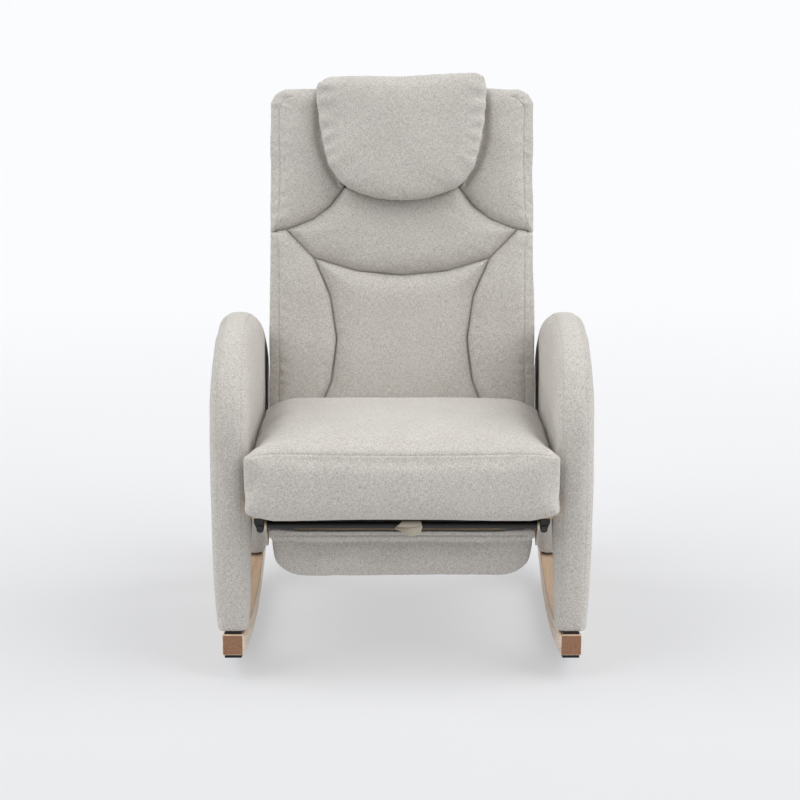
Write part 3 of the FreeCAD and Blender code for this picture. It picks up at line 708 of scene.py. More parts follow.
# ------------------------------------------------------------------ the stage
def studio_floor_material():
    """Pale seamless floor that glows a little, so that shadows on it stay light, with painted light that
    brightens it towards the back.
    """
    settings = stage_settings()
    material, tree, shader = new_material("studio_floor")
    place, _ = object_place(tree)
    cloudy = math_node(tree, "MULTIPLY", noise(tree, place, 0.9, 3.0), 0.12)
    # Painted light: the floor's colour and glow rise from front to back, up to 1.23 times brighter far away,
    # standing in for the light's falloff.
    run = math_node(tree, "MULTIPLY_ADD", axes_of(tree, place)[1], 0.16, 0.24)
    run = math_node(tree, "ADD", run, cloudy)
    near = list(settings.floor_colour)
    far = [min(1.0, 1.23 * value) for value in near]
    tone = ramp(tree, run, [(0.0, near), (0.85, far)])
    tree.links.new(tone, shader.inputs["Base Color"])
    tree.links.new(tone, shader.inputs["Emission Color"])
    shader.inputs["Emission Strength"].default_value = settings.floor_glow
    shader.inputs["Roughness"].default_value = 0.7
    shader.inputs["Specular IOR Level"].default_value = 0.15
    return material


class RECLINER_OT_stage(bpy.types.Operator):
    """Make the pale floor, the soft lights and the camera"""

    bl_idname = "recliner.stage"
    bl_label = "Stage"

    def execute(self, context):
        settings = stage_settings()
        scene = context.scene
        scene.view_settings.view_transform = "Standard"
        bpy.ops.object.select_all(action="DESELECT")
        bpy.ops.mesh.primitive_plane_add(size=160.0)
        floor = context.object
        floor.name = "studio_floor"
        floor.data.materials.append(studio_floor_material())
        world = bpy.data.worlds.new("studio_air")
        world.use_nodes = True
        air = world.node_tree.nodes["Background"]
        air.inputs[0].default_value = (0.965, 0.98, 1.0, 1.0)
        air.inputs[1].default_value = settings.air
        scene.world = world
        self.overhead("overhead_right", math.radians(6.5), math.radians(44.0), 1.06 * settings.overhead)
        self.overhead("overhead_left", math.radians(6.5), math.radians(-44.0), 0.94 * settings.overhead)
        self.soft_box("right_softbox", (3.0, -2.4, 1.9), (0.0, 0.1, 0.6), 1.8, settings.side_fill)
        camera_data = bpy.data.cameras.new("camera")
        camera_data.sensor_width = 36.0
        camera_data.lens = settings.lens
        camera_data.clip_end = 200.0
        camera = bpy.data.objects.new("camera", camera_data)
        scene.collection.objects.link(camera)
        camera.location = (-0.0036, -settings.distance, settings.height)
        camera.rotation_euler = (math.radians(90.0) - settings.pitch, 0.0, 0.0)
        scene.camera = camera
        return {"FINISHED"}

    def overhead(self, name, forward, sideways, strength):
        """Very wide distant light from above, tipped towards the front and one side."""
        data = bpy.data.lights.new(name, "SUN")
        data.energy = strength
        data.angle = math.radians(58.0)
        light = bpy.data.objects.new(name, data)
        bpy.context.scene.collection.objects.link(light)
        light.rotation_euler = (forward, sideways, 0.0)

    def soft_box(self, name, location, target, size, power):
        """Square area light aimed at a point."""
        data = bpy.data.lights.new(name, "AREA")
        data.shape = "SQUARE"
        data.size = size
        data.energy = power
        light = bpy.data.objects.new(name, data)
        bpy.context.scene.collection.objects.link(light)
        light.location = location
        aim = Vector(target) - Vector(location)
        light.rotation_euler = aim.to_track_quat("-Z", "Y").to_euler()


# ------------------------------------------------------------------ finishes of the kept nodes
class RECLINER_OT_finishes(bpy.types.Operator):
    """Give the rockers, metal, timber and rubber their finishes"""

    bl_idname = "recliner.finishes"
    bl_label = "Wood, metal and rubber"

    def execute(self, context):
        slots = {entry["node"]: entry["material_slot"] for entry in frame["record"]["subparts"]}
        finish_of_slot = {
            "rocker_wood": "rocker", "frame_wood": "timber", "rubber": "rubber",
            "black_plastic": "plastic", "black_metal": "black_coat", "zinc_steel": "zinc",
            "webbing": "webbing", "dust_cloth": "dust_cloth", "tab_cloth": "tab", "upholstery": "linen"}
        for name, thing in frame["nodes"].items():
            material = MATERIALS[finish_of_slot[slots[name]]]
            thing.data.materials.clear()
            thing.data.materials.append(material)
        return {"FINISHED"}


# ------------------------------------------------------------------ arms
def arm_boxing_line(x, low, high):
    """Seam line along an arm's edge at one x, up the front leg, over the top and down the rear leg."""
    bow = 0.190
    top = high.z
    centre_y = low.y + bow
    centre_z = top - bow
    points = [(low.y, 0.115 + (centre_z - 0.115) * step / 13) for step in range(13)]
    for step in range(25):
        angle = math.radians(180.0 - 90.0 * step / 24)
        points.append((centre_y + bow * math.cos(angle), centre_z + bow * math.sin(angle)))
    for y, drop in ((-0.158, 0.0009), (-0.10, 0.0045), (-0.04, 0.0145), (0.03, 0.035),
                    (0.09, 0.0585), (0.15, 0.088), (0.203, 0.122), (0.225, 0.139), (0.238, 0.168),
                    (high.y, 0.205)):
        points.append((y, top - drop))
    for step in range(1, 11):
        points.append((high.y, top - 0.205 - (top - 0.205 - 0.14) * step / 10))
    return [np.array((x, y, z)) for y, z in points]


def outer_shell(piece):
    """Keep only the widest loose shell of a mesh, without the pockets and bolt holes inside it."""
    build = bmesh.new()
    build.from_mesh(piece.data)
    left = set(build.verts)
    shells = []
    while left:
        stack = [left.pop()]
        shell = list(stack)
        while stack:
            for edge in stack.pop().link_edges:
                for vertex in edge.verts:
                    if vertex in left:
                        left.remove(vertex)
                        stack.append(vertex)
                        shell.append(vertex)
        shells.append(shell)
    widths = [max(v.co.x for v in shell) - min(v.co.x for v in shell) for shell in shells]
    for shell, width in zip(shells, widths):
        if width < 0.9 * max(widths):
            bmesh.ops.delete(build, geom=shell, context="VERTS")
    build.to_mesh(piece.data)
    build.free()


class RECLINER_OT_arms(bpy.types.Operator):
    """Fill and sew the two padded arms"""

    bl_idname = "recliner.arms"
    bl_label = "Arms"

    def execute(self, context):
        low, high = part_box("arm_cover_left")
        piece = copy_of_node("arm_cover_left", "arm_left")
        outer_shell(piece)
        fill_cushion(piece, cap=0.007, shrink=0.0025, spread=0.0035, axis=(1.0, 0.0, 0.0), voxel_share=1.1)
        self.shape(piece, low, high)
        finer(piece)
        inner_seam = arm_boxing_line(high.x - 0.005, low, high)
        outer_seam = arm_boxing_line(low.x + 0.005, low, high)
        rows = {
            "inner": sew(piece, inner_seam, depth=0.0009, pucker=0.0005, reach=0.014, seed=3),
            "outer": sew(piece, outer_seam, depth=0.0009, pucker=0.0005, reach=0.014, seed=4)}
        soften(piece, 0.0007, 0.16, 11)
        twin = mirror_piece(piece, "arm_right")
        soften(twin, 0.0006, 0.14, 12)
        for side, arm in (("left", piece), ("right", twin)):
            finish_piece(arm, BASE, MATERIALS["linen"])
            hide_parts("arm_cover_" + side)
            for which, row in rows.items():
                line = [point * np.array((-SIDES[side], 1.0, 1.0)) for point in row]
                name = "arm_stitches_" + which + "_" + side
                stitch_row(name, arm, line, BASE, MATERIALS["thread"])
        return {"FINISHED"}

    def shape(self, piece, low, high):
        """Crown the faces, narrow the legs towards their feet, and keep clear of the neighbours."""
        places = points_of(piece)
        middle = (low.x + high.x) / 2
        half = (high.x - low.x) / 2
        rise = np.clip((places[:, 2] - low.z) / 0.26, 0.0, 1.0)
        narrow = 0.86 + 0.14 * np.sin(rise * math.pi / 2)
        narrow += 0.035 * np.sin(np.clip((places[:, 2] - 0.30) / 0.30, 0.0, 1.0) * math.pi)
        places[:, 0] = middle + (places[:, 0] - middle) * narrow
        at_foot = np.clip((0.05 - (places[:, 2] - low.z)) / 0.05, 0.0, 1.0)
        places[:, 2] -= at_foot * 0.003 * (np.abs(places[:, 0] - middle) < 0.8 * half)
        inner_limit = np.where(places[:, 2] < 0.31, high.x + 0.0030, high.x + 0.0028)
        beside_seat = (places[:, 2] > 0.31) & (places[:, 2] < 0.46) & (places[:, 1] < 0.03)
        inner_limit = np.where(beside_seat, high.x + 0.0002, inner_limit)
        places[:, 0] = np.clip(places[:, 0], low.x - 0.0035, inner_limit)
        put_points(piece, places)


# ------------------------------------------------------------------ seat
class RECLINER_OT_seat(bpy.types.Operator):
    """Fill and sew the seat cushion"""

    bl_idname = "recliner.seat"
    bl_label = "Seat cushion"

    def execute(self, context):
        low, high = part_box("seat_cushion")
        piece = fill_cushion(copy_of_node("seat_cushion", "seat"), cap=0.016, shrink=0.003)
        self.shape(piece, low, high)
        finer(piece)
        seam = self.front_seam(low, high)
        seam = sew(piece, seam, depth=0.0012, width=0.0014, pucker=0.0005, reach=0.016, seed=21)
        soften(piece, 0.0011, 0.17, 22)
        finish_piece(piece, BASE, MATERIALS["linen"])
        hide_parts("seat_cushion")
        row = [point + np.array((0.0, -0.001, -0.006)) for point in seam]
        stitch_row("seat_stitches", piece, row, BASE, MATERIALS["thread"])
        return {"FINISHED"}

    def shape(self, piece, low, high):
        """Crown the top, round its shoulders beside the arms, and chamfer the front's lower corners."""
        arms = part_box("arm_cover_right")[0]
        places = points_of(piece)
        half = high.x
        behind = places[:, 1] > arms.y - 0.001
        side_limit = np.where(behind, arms.x - 0.0006, half + 0.0015)
        places[:, 0] = np.clip(places[:, 0], -side_limit, side_limit)
        out = np.clip(np.abs(places[:, 0]) / half, 0.0, 1.0)
        ahead = np.clip((places[:, 1] - low.y) / 0.46, 0.0, 1.0)
        upper = np.clip((places[:, 2] - (high.z - 0.075)) / 0.065, 0.0, 1.0)
        crown = 0.010 * (1.0 - out ** 3.0) * np.sin(ahead * math.pi) ** 0.5
        crown *= 1.0 - 0.8 * ahead ** 2
        shoulder = 0.034 * np.clip((out - 0.72) / 0.28, 0.0, 1.0) ** 2
        shoulder *= np.clip(0.45 + ahead / 0.30, 0.0, 1.0)
        places[:, 2] += upper * (crown - shoulder)
        in_front = np.clip((arms.y + 0.012 - places[:, 1]) / 0.012, 0.0, 1.0)
        lower = np.clip((low.z + 0.045 - places[:, 2]) / 0.045, 0.0, 1.0)
        bottom = places[places[:, 1] < arms.y][:, 2].min()
        places[:, 2] += in_front * lower * (low.z - 0.0006 - bottom)
        self.square_front(places, half + 0.0035, low.z, high.z, in_front)
        corner = np.clip((np.abs(places[:, 0]) - (half - 0.050)) / 0.050, 0.0, 1.0)
        places[:, 2] += in_front * lower * 0.015 * corner ** 1.2
        put_points(piece, places)

    def square_front(self, places, half, low, high, share):
        """Bring the front's two sides out to one straight width, with rounded corners."""
        levels = np.linspace(low, high, 15)
        front = share > 0.5
        widths = []
        for level in levels:
            near = front & (np.abs(places[:, 2] - level) < 0.010)
            widths.append(np.abs(places[near, 0]).max() if near.any() else half)
        now = np.interp(places[:, 2], levels, widths)
        low_round, high_round = 0.014, 0.032
        below = np.clip((low + low_round - places[:, 2]) / low_round, 0.0, 1.0)
        above = np.clip((places[:, 2] - high + high_round) / high_round, 0.0, 1.0)
        wanted = half - low_round * (1.0 - np.sqrt(1.0 - below ** 2))
        wanted -= high_round * (1.0 - np.sqrt(1.0 - above ** 2))
        out = np.clip(np.abs(places[:, 0]) / half, 0.0, 1.0)
        places[:, 0] *= 1.0 + (wanted / np.maximum(now, 1e-6) - 1.0) * share * out ** 4

    def front_seam(self, low, high):
        """Line near the top edge of the seat's front, a little lower in the middle."""
        points = []
        for step in range(61):
            share = step / 60 * 2 - 1
            level = low.z + 0.1355 - 0.0075 * (1.0 - share * share)
            points.append((share * (high.x - 0.004), low.y - 0.004, level))
        return points


# ------------------------------------------------------------------ back
# Node: the piece that stands for it, and how far its front may rise.
BACK_CUSHIONS = {
    "wing_cushion_left": ("wing_left", 0.030),
    "side_bolster_left": ("bolster_left", 0.026),
    "lumbar_cushion": ("lumbar_roll", 0.034),
    "centre_cushion": ("centre_panel", 0.022),
}
BACK_AXIS = tuple(FROM_BACK.to_3x3() @ Vector((0.0, 1.0, 0.0)))
FRONT_SQUARE = -0.092   # where the cushions' side walls end and their rounded fronts start
OUTER_SEAM = 0.2495     # seam between the front panels and the side strips, from the middle
OUTER_SEAM_DEPTH = -0.104
CUSHION_EDGE = 0.2655   # sides of the front cushions, from the middle
PANEL_EDGE = 0.2672     # sides of the rear panel, from the middle
BACK_TOP = 0.6895
WING_FOOT = 0.3975      # where the wings end and the bolsters start


# Seams between the front panels: across and up, in the back's own frame.
SEAMS = {
    "wing": [(-OUTER_SEAM, 0.4000), (-0.219, 0.4065), (-0.176, 0.424), (-0.143, 0.450), (-0.114, 0.488)],
    "lumbar_side": [(-0.229, 0.4024), (-0.174, 0.346)],
    "lumbar_low": [(-0.174, 0.346), (-0.089, 0.320), (0.0, 0.311), (0.089, 0.320), (0.174, 0.346)],
    "centre_side": [(-0.174, 0.346), (-0.141, 0.268), (-0.129, 0.185), (-0.139, 0.100), (-0.172, 0.022)],
}


def seam_lines():
    """Every seam between front panels, on both sides, as closely spaced points."""
    lines = []
    for name, line in SEAMS.items():
        line = along_line(line, np.linspace(0.0, 1.0, 40))
        lines.append(line)
        if name != "lumbar_low":
            lines.append(line * np.array((-1.0, 1.0)))
    return lines


def seam_sink(local):
    """How far the seams between the front panels pull each place back, with puckers beside them."""
    flat = local[:, [0, 2]]
    gap = np.full(len(flat), 1e9)
    along = np.zeros(len(flat))
    for line in seam_lines():
        this_gap, this_along = near_line(flat, line)
        closer = this_gap < gap
        gap[closer] = this_gap[closer]
        along[closer] = this_along[closer]
    uneven = swell(local, 0.10, 61)
    folds = np.sin(2 * math.pi * along / 0.028 + 3.0 * uneven)
    fade = np.exp(-(gap / 0.018) ** 2) * (1 - np.exp(-(gap / 0.005) ** 2))
    sink = 0.0085 * np.exp(-(gap / 0.0023) ** 2) + 0.0035 * np.exp(-(gap / 0.008) ** 2)
    return sink + 0.0007 * folds * fade * (0.6 + 0.4 * uneven)


def back_place(x, square, up):
    """Point of the back's own frame, in metres, as a place on the chair."""
    return np.array(FROM_BACK @ Vector((x, square, up)))


def reshape_on_back(piece, change):
    """Move a piece's points by a function that works in the back's own frame."""
    local = moved(points_of(piece), TO_BACK)
    change(local)
    put_points(piece, moved(local, FROM_BACK))


def round_shoulders(local, half, top, across=0.034, down=0.036, cut=1.285):
    """Round the top corners of a part of the back, whose solid has them square or cut straight."""
    local[:, 0] = np.clip(local[:, 0], -half, half)
    local[:, 2] = np.minimum(local[:, 2], top)
    out = (np.abs(local[:, 0]) - (half - across)) / across
    up = (local[:, 2] - (top - down)) / down
    corner = (out > 0.0) & (up > 0.0)
    out, up = out[corner], up[corner]
    reach = np.maximum(np.sqrt(out ** 2 + up ** 2), 1e-6)
    solid = np.minimum(reach / np.maximum(out, up), cut * reach / (out + up))
    pull = np.minimum(1.0 / solid, 1.0 / reach)
    local[corner, 0] = np.sign(local[corner, 0]) * (half - across + across * out * pull)
    local[corner, 2] = top - down + down * up * pull


class RECLINER_OT_back(bpy.types.Operator):
    """Fill and sew the wings, bolsters, lumbar roll and centre panel"""

    bl_idname = "recliner.back"
    bl_label = "Back cushions"

    def execute(self, context):
        made = {}
        for node_name, (name, cap) in BACK_CUSHIONS.items():
            piece = fill_cushion(copy_of_node(node_name, name), cap=cap, shrink=0.0015,
                                 spread=0.0016, axis=BACK_AXIS, voxel_share=0.72)
            hug(piece, node_name, FRONT_SQUARE - 0.001, FRONT_SQUARE + 0.004)
            apply_modifier(piece, "SMOOTH", "ease", factor=0.5, iterations=1)
            reshape_on_back(piece, self.keep_inside)
            finer(piece)
            made[name] = piece
        self.join_seams(made)
        rows = {}
        for name in ("wing_left", "bolster_left"):
            seam = [p for p in self.outer_seam(-1.0) if self.beside_wing(p) == (name == "wing_left")]
            rows[name[:-5]] = sew(made[name], seam, depth=0.0022, width=0.0018, pucker=0.0015,
                                  pucker_pitch=0.025, reach=0.016, seed=31)
        soften(made["wing_left"], 0.0016, 0.11, 32)
        soften(made["bolster_left"], 0.0012, 0.12, 33)
        soften(made["lumbar_roll"], 0.0013, 0.12, 34)
        soften(made["centre_panel"], 0.0010, 0.14, 35)
        made["wing_right"] = mirror_piece(made["wing_left"], "wing_right")
        made["bolster_right"] = mirror_piece(made["bolster_left"], "bolster_right")
        soften(made["wing_right"], 0.0012, 0.09, 36)
        soften(made["bolster_right"], 0.0010, 0.10, 37)
        nodes = {"wing_left": "wing_cushion_left", "wing_right": "wing_cushion_right",
                 "bolster_left": "side_bolster_left", "bolster_right": "side_bolster_right",
                 "lumbar_roll": "lumbar_cushion", "centre_panel": "centre_cushion"}
        for name, piece in made.items():
            finish_piece(piece, BACK, MATERIALS["linen_back"])
            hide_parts(nodes[name])
        for side, sign in SIDES.items():
            for part, row in rows.items():
                line = [point * np.array((-sign, 1.0, 1.0)) for point in row]
                name = part + "_stitches_" + side
                stitch_row(name, made[part + "_" + side], line, BACK, MATERIALS["thread"])
        return {"FINISHED"}

    def keep_inside(self, local):
        """Keep a filled cushion off the back frame behind it and inside the back's outline."""
        local[:, 1] = np.clip(local[:, 1], -0.2, -0.0032)
        round_shoulders(local, CUSHION_EDGE, BACK_TOP)

    def join_seams(self, made):
        """Sink every cushion into the seams that it shares with its neighbours."""
        for name, piece in made.items():
            for line in seam_lines():
                places = [back_place(x, FRONT_SQUARE - 0.004, up) for x, up in line]
                beside = [spot for place, spot in zip(places, on_surface(piece, places))
                          if np.linalg.norm(place - spot) < 0.010]
                if len(beside) > 3:
                    refine_near(piece, beside, 0.010, cuts=1)
            reshape_on_back(piece, self.crease)
            if name == "wing_left":
                reshape_on_back(piece, self.tuck_behind_pillow)

    def crease(self, local):
        front = np.clip((FRONT_SQUARE + 0.024 - local[:, 1]) / 0.012, 0.0, 1.0)
        local[:, 1] += seam_sink(local) * front

    def tuck_behind_pillow(self, local):
        """Sink the wing along the pillow's edge."""
        outline = np.array([(-0.166, 0.700), (-0.162, 0.58), (-0.144, 0.522), (-0.125, 0.493),
                            (-0.10, 0.475)])
        gap, _ = near_line(local[:, [0, 2]], outline)
        front = np.clip((FRONT_SQUARE + 0.010 - local[:, 1]) / 0.010, 0.0, 1.0)
        local[:, 1] += 0.010 * np.exp(-(gap / 0.009) ** 2) * front

    def beside_wing(self, place):
        return (TO_BACK @ Vector(place)).z > WING_FOOT

    def outer_seam(self, sign):
        """Seam where the front panels meet the back's side strips, up round the shoulder."""
        points = []
        for step in range(60):
            points.append(back_place(sign * OUTER_SEAM, OUTER_SEAM_DEPTH, 0.03 + 0.60 * step / 59))
        for step in range(10):
            turn = math.radians(80.0 * step / 9)
            side = OUTER_SEAM - 0.036 * (1 - math.cos(turn))
            points.append(back_place(sign * side, OUTER_SEAM_DEPTH, 0.63 + 0.042 * math.sin(turn)))
        return points


class RECLINER_OT_pillow(bpy.types.Operator):
    """Fill and sew the head pillow and the filling behind it"""

    bl_idname = "recliner.pillow"
    bl_label = "Head pillow"

    def execute(self, context):
        piece = fill_cushion(copy_of_node("head_pillow", "head_pillow_cover"), cap=0.022, shrink=0.003,
                             spread=0.006, axis=BACK_AXIS, voxel_share=0.85)
        reshape_on_back(piece, self.drape)
        finer(piece)
        rim = sew(piece, self.rim(-0.106), depth=0.0022, width=0.0018, pucker=0.0007,
                  pucker_pitch=0.026, reach=0.020, seed=41)
        soften(piece, 0.0014, 0.12, 42)
        finish_piece(piece, BACK, MATERIALS["linen_back"])
        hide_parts("head_pillow")
        stitch_row("pillow_stitches", piece, rim, BACK, MATERIALS["thread"])
        backing = fill_cushion(copy_of_node("pillow_backing", "pillow_filling"), cap=0.006, shrink=0.002)
        hug(backing, "pillow_backing", FRONT_SQUARE + 0.004, FRONT_SQUARE + 0.012)
        reshape_on_back(backing, self.press_backing)
        finish_piece(backing, BACK, MATERIALS["linen_back"])
        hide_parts("pillow_backing")
        return {"FINISHED"}

    def drape(self, local):
        """Stretch the pillow to its sewn size, tip its top edge, and rest it on the wings."""
        local[:, 1] = np.minimum(local[:, 1], FRONT_SQUARE - 0.0005)
        for axis, low, high in ((0, -0.1685, 0.1685), (2, 0.4535, 0.7075)):
            near, far = local[:, axis].min(), local[:, axis].max()
            local[:, axis] = low + (local[:, axis] - near) * (high - low) / (far - near)
        top = np.clip((local[:, 2] - 0.60) / 0.10, 0.0, 1.0)
        across = local[:, 0] / 0.165
        round_shoulders(local, 0.1690, 0.7080, 0.026, 0.028, cut=2.0)
        local[:, 2] += top * (0.0055 * across + 0.004 * across ** 2 - 0.003)
        local[:, 0] -= 0.003 * top * (across < 0.0) * -across
        beside = np.clip((np.abs(local[:, 0]) - 0.125) / 0.03, 0.0, 1.0)
        beside *= np.clip((local[:, 2] - 0.475) / 0.03, 0.0, 1.0)
        folds = np.sin(local[:, 2] * 2 * math.pi / 0.031 + 2.2 * swell(local, 0.12, 44))
        local[:, 0] -= np.sign(local[:, 0]) * 0.0016 * beside * (0.5 + 0.5 * folds)
        local[:, 1] += 0.0022 * beside * folds * (local[:, 1] < FRONT_SQUARE - 0.004)

    def press_backing(self, local):
        local[:, 1] = np.clip(local[:, 1], FRONT_SQUARE + 0.0002, -0.0032)

    def rim(self, square):
        """Seam round the pillow's edge, at one depth."""
        outline = []
        for step in range(24):
            outline.append((0.166 - 0.332 * step / 23, 0.702))
        for step in range(1, 20):
            share = step / 19
            outline.append((-(0.166 - 0.004 * share - 0.018 * share ** 3), 0.702 - 0.18 * share))
        for step in range(1, 40):
            turn = math.pi * step / 40
            outline.append((-0.144 * math.cos(turn), 0.522 - 0.067 * math.sin(turn) ** 0.9))
        for step in range(20):
            share = 1 - step / 19
            outline.append((0.166 - 0.004 * share - 0.018 * share ** 3, 0.702 - 0.18 * share))
        return [back_place(x, square, up) for x, up in outline]


class RECLINER_OT_seam_tape(bpy.types.Operator):
    """Lay the strip of cloth behind the back's seams that the panels are sewn to"""

    bl_idname = "recliner.seam_tape"
    bl_label = "Seam tape"

    def execute(self, context):
        lines = [SEAMS["lumbar_low"]]
        for name in ("wing", "lumbar_side", "centre_side"):
            lines.append(SEAMS[name])
            lines.append([(-x, up) for x, up in SEAMS[name]])
        build = bmesh.new()
        area = 0.0
        for line in lines:
            area += self.strip(build, line, 0.024)
        mesh = bpy.data.meshes.new("back_seam_tape")
        build.to_mesh(mesh)
        build.free()
        tape = bpy.data.objects.new("back_seam_tape", mesh)
        context.scene.collection.objects.link(tape)
        apply_modifier(tape, "SOLIDIFY", "cloth", thickness=0.0012, offset=0.0)
        finish_piece(tape, BACK, MATERIALS["linen_back"])
        return {"FINISHED"}

    def strip(self, build, line, width):
        """Flat strip along a line in the back's own frame; returns its area."""
        line = np.array(line)
        marks = np.concatenate([[0.0], np.cumsum(np.linalg.norm(np.diff(line, axis=0), axis=1))])
        count = max(2, int(marks[-1] / 0.003))
        along = np.linspace(0.0, marks[-1], count)
        spots = np.stack([np.interp(along, marks, line[:, axis]) for axis in (0, 1)], axis=1)
        heading = np.gradient(spots, axis=0)
        heading /= np.linalg.norm(heading, axis=1, keepdims=True)
        across = np.stack([-heading[:, 1], heading[:, 0]], axis=1) * width / 2
        rows = []
        for spot, side in zip(spots, across):
            row = np.array([spot + side * (1 - step / 6) for step in range(13)])
            local = np.stack([row[:, 0], np.full(13, FRONT_SQUARE + 0.0070), row[:, 1]], axis=1)
            local[:, 1] += seam_sink(local)
            rows.append([build.verts.new(back_place(*place)) for place in local])
        for first, second in zip(rows[:-1], rows[1:]):
            for a, b, c, d in zip(first[:-1], first[1:], second[1:], second[:-1]):
                build.faces.new((a, b, c, d))
        return marks[-1] * width


class RECLINER_OT_back_panel(bpy.types.Operator):
    """Pad and sew the upholstered panel that closes the rear of the back"""

    bl_idname = "recliner.back_panel"
    bl_label = "Rear panel"

    def execute(self, context):
        piece = copy_of_node("back_shell", "rear_panel")
        apply_modifier(piece, "REMESH", "grid", mode="VOXEL", voxel_size=0.0055)
        apply_modifier(piece, "SMOOTH", "ease", factor=0.5, iterations=4)
        reshape_on_back(piece, self.pad)
        finer(piece)
        seam = sew(piece, self.seam(), depth=0.0022, pucker=0.0008, pucker_pitch=0.024, reach=0.016, seed=51)
        soften(piece, 0.0008, 0.15, 52)
        finish_piece(piece, BACK, MATERIALS["linen_back"])
        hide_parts("back_shell")
        stitch_row("rear_panel_stitches", piece, seam, BACK, MATERIALS["thread"])
        return {"FINISHED"}

    def pad(self, local):
        """Crown the rear and the sides a little."""
        out = np.clip(np.abs(local[:, 0]) / 0.25, 0.0, 1.0)
        up = np.clip((local[:, 2] - 0.036) / 0.652, 0.0, 1.0)
        rear = np.clip((local[:, 1] - 0.034) / 0.010, 0.0, 1.0)
        local[:, 1] += 0.007 * rear * (1 - out ** 2.5) * np.sin(up * math.pi) ** 0.6
        side = np.clip((np.abs(local[:, 0]) - 0.250) / 0.009, 0.0, 1.0)
        depth = np.clip((local[:, 1] + 0.002) / 0.05, 0.0, 1.0)
        local[:, 0] += np.sign(local[:, 0]) * 0.0045 * side * (0.6 + 0.4 * np.sin(depth * math.pi))
        round_shoulders(local, PANEL_EDGE, BACK_TOP, cut=2.0)

    def seam(self):
        """Seam round the rear panel, a little in from its edges."""
        points = []
        for step in range(50):
            points.append(back_place(-0.241, 0.051, 0.05 + 0.60 * step / 49))
        for step in range(1, 40):
            points.append(back_place(-0.241 + 0.482 * step / 39, 0.051, 0.668))
        for step in range(1, 50):
            points.append(back_place(0.241, 0.051, 0.668 - 0.618 * step / 49))
        return points


# ------------------------------------------------------------------ footrest
class RECLINER_OT_footrest(bpy.types.Operator):
    """Fill and sew the footrest pad"""

    bl_idname = "recliner.footrest"
    bl_label = "Footrest pad"

    def execute(self, context):
        low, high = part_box("footrest_pad")
        piece = copy_of_node("footrest_pad", "footrest_pad_cover")
        outer_shell(piece)
        fill_cushion(piece, cap=0.009, shrink=0.003)
        places = points_of(piece)
        half = high.x
        drop = np.clip((high.z - places[:, 2]) / (high.z - low.z), 0.0, 1.0)
        out = np.clip((np.abs(places[:, 0]) - 0.11) / (half - 0.11), 0.0, 1.0)
        places[:, 2] += 0.012 * out ** 2 * drop ** 2
        places[:, 0] *= 1.0 - 0.05 * drop ** 3
        places[:, 0] = np.clip(places[:, 0], -half, half)
        middle = (low.y + high.y) / 2
        places[:, 1] = middle + (places[:, 1] - middle) * (high.y - low.y + 0.003) / np.ptp(places[:, 1])
        places[:, 0] *= (half - 0.001) / np.abs(places[:, 0]).max()
        places[places[:, 2] > places[:, 2].max() - 0.008, 2] = high.z + 0.0003
        near_top = np.clip((places[:, 2] - high.z + 0.005) / 0.005, 0.0, 1.0)
        edge = 0.005 * (1.0 - np.sqrt(1.0 - near_top ** 2))
        upper = places[:, 2] > high.z - 0.022
        front = upper & (places[:, 1] < low.y + 0.013)
        places[front, 1] = low.y - 0.0015 + edge[front]
        ends = upper & (np.abs(places[:, 0]) > half - 0.014)
        places[ends, 0] = np.sign(places[ends, 0]) * (half - edge[ends])
        places[:, 2] = np.clip(places[:, 2], low.z - 0.003, high.z + 0.0003)
        put_points(piece, places)
        finer(piece)
        seam = []
        for step in range(60):
            x = (step / 59 * 2 - 1) * (half - 0.016)
            seam.append(np.array((x, low.y - 0.002, high.z - 0.014)))
        seam = sew(piece, seam, depth=0.0016, pucker=0.0005, pucker_pitch=0.025, reach=0.014, seed=61)
        soften(piece, 0.0010, 0.14, 62)
        finish_piece(piece, REST, MATERIALS["linen"])
        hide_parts("footrest_pad")
        stitch_row("footrest_stitches", piece, seam, REST, MATERIALS["thread"])
        return {"FINISHED"}


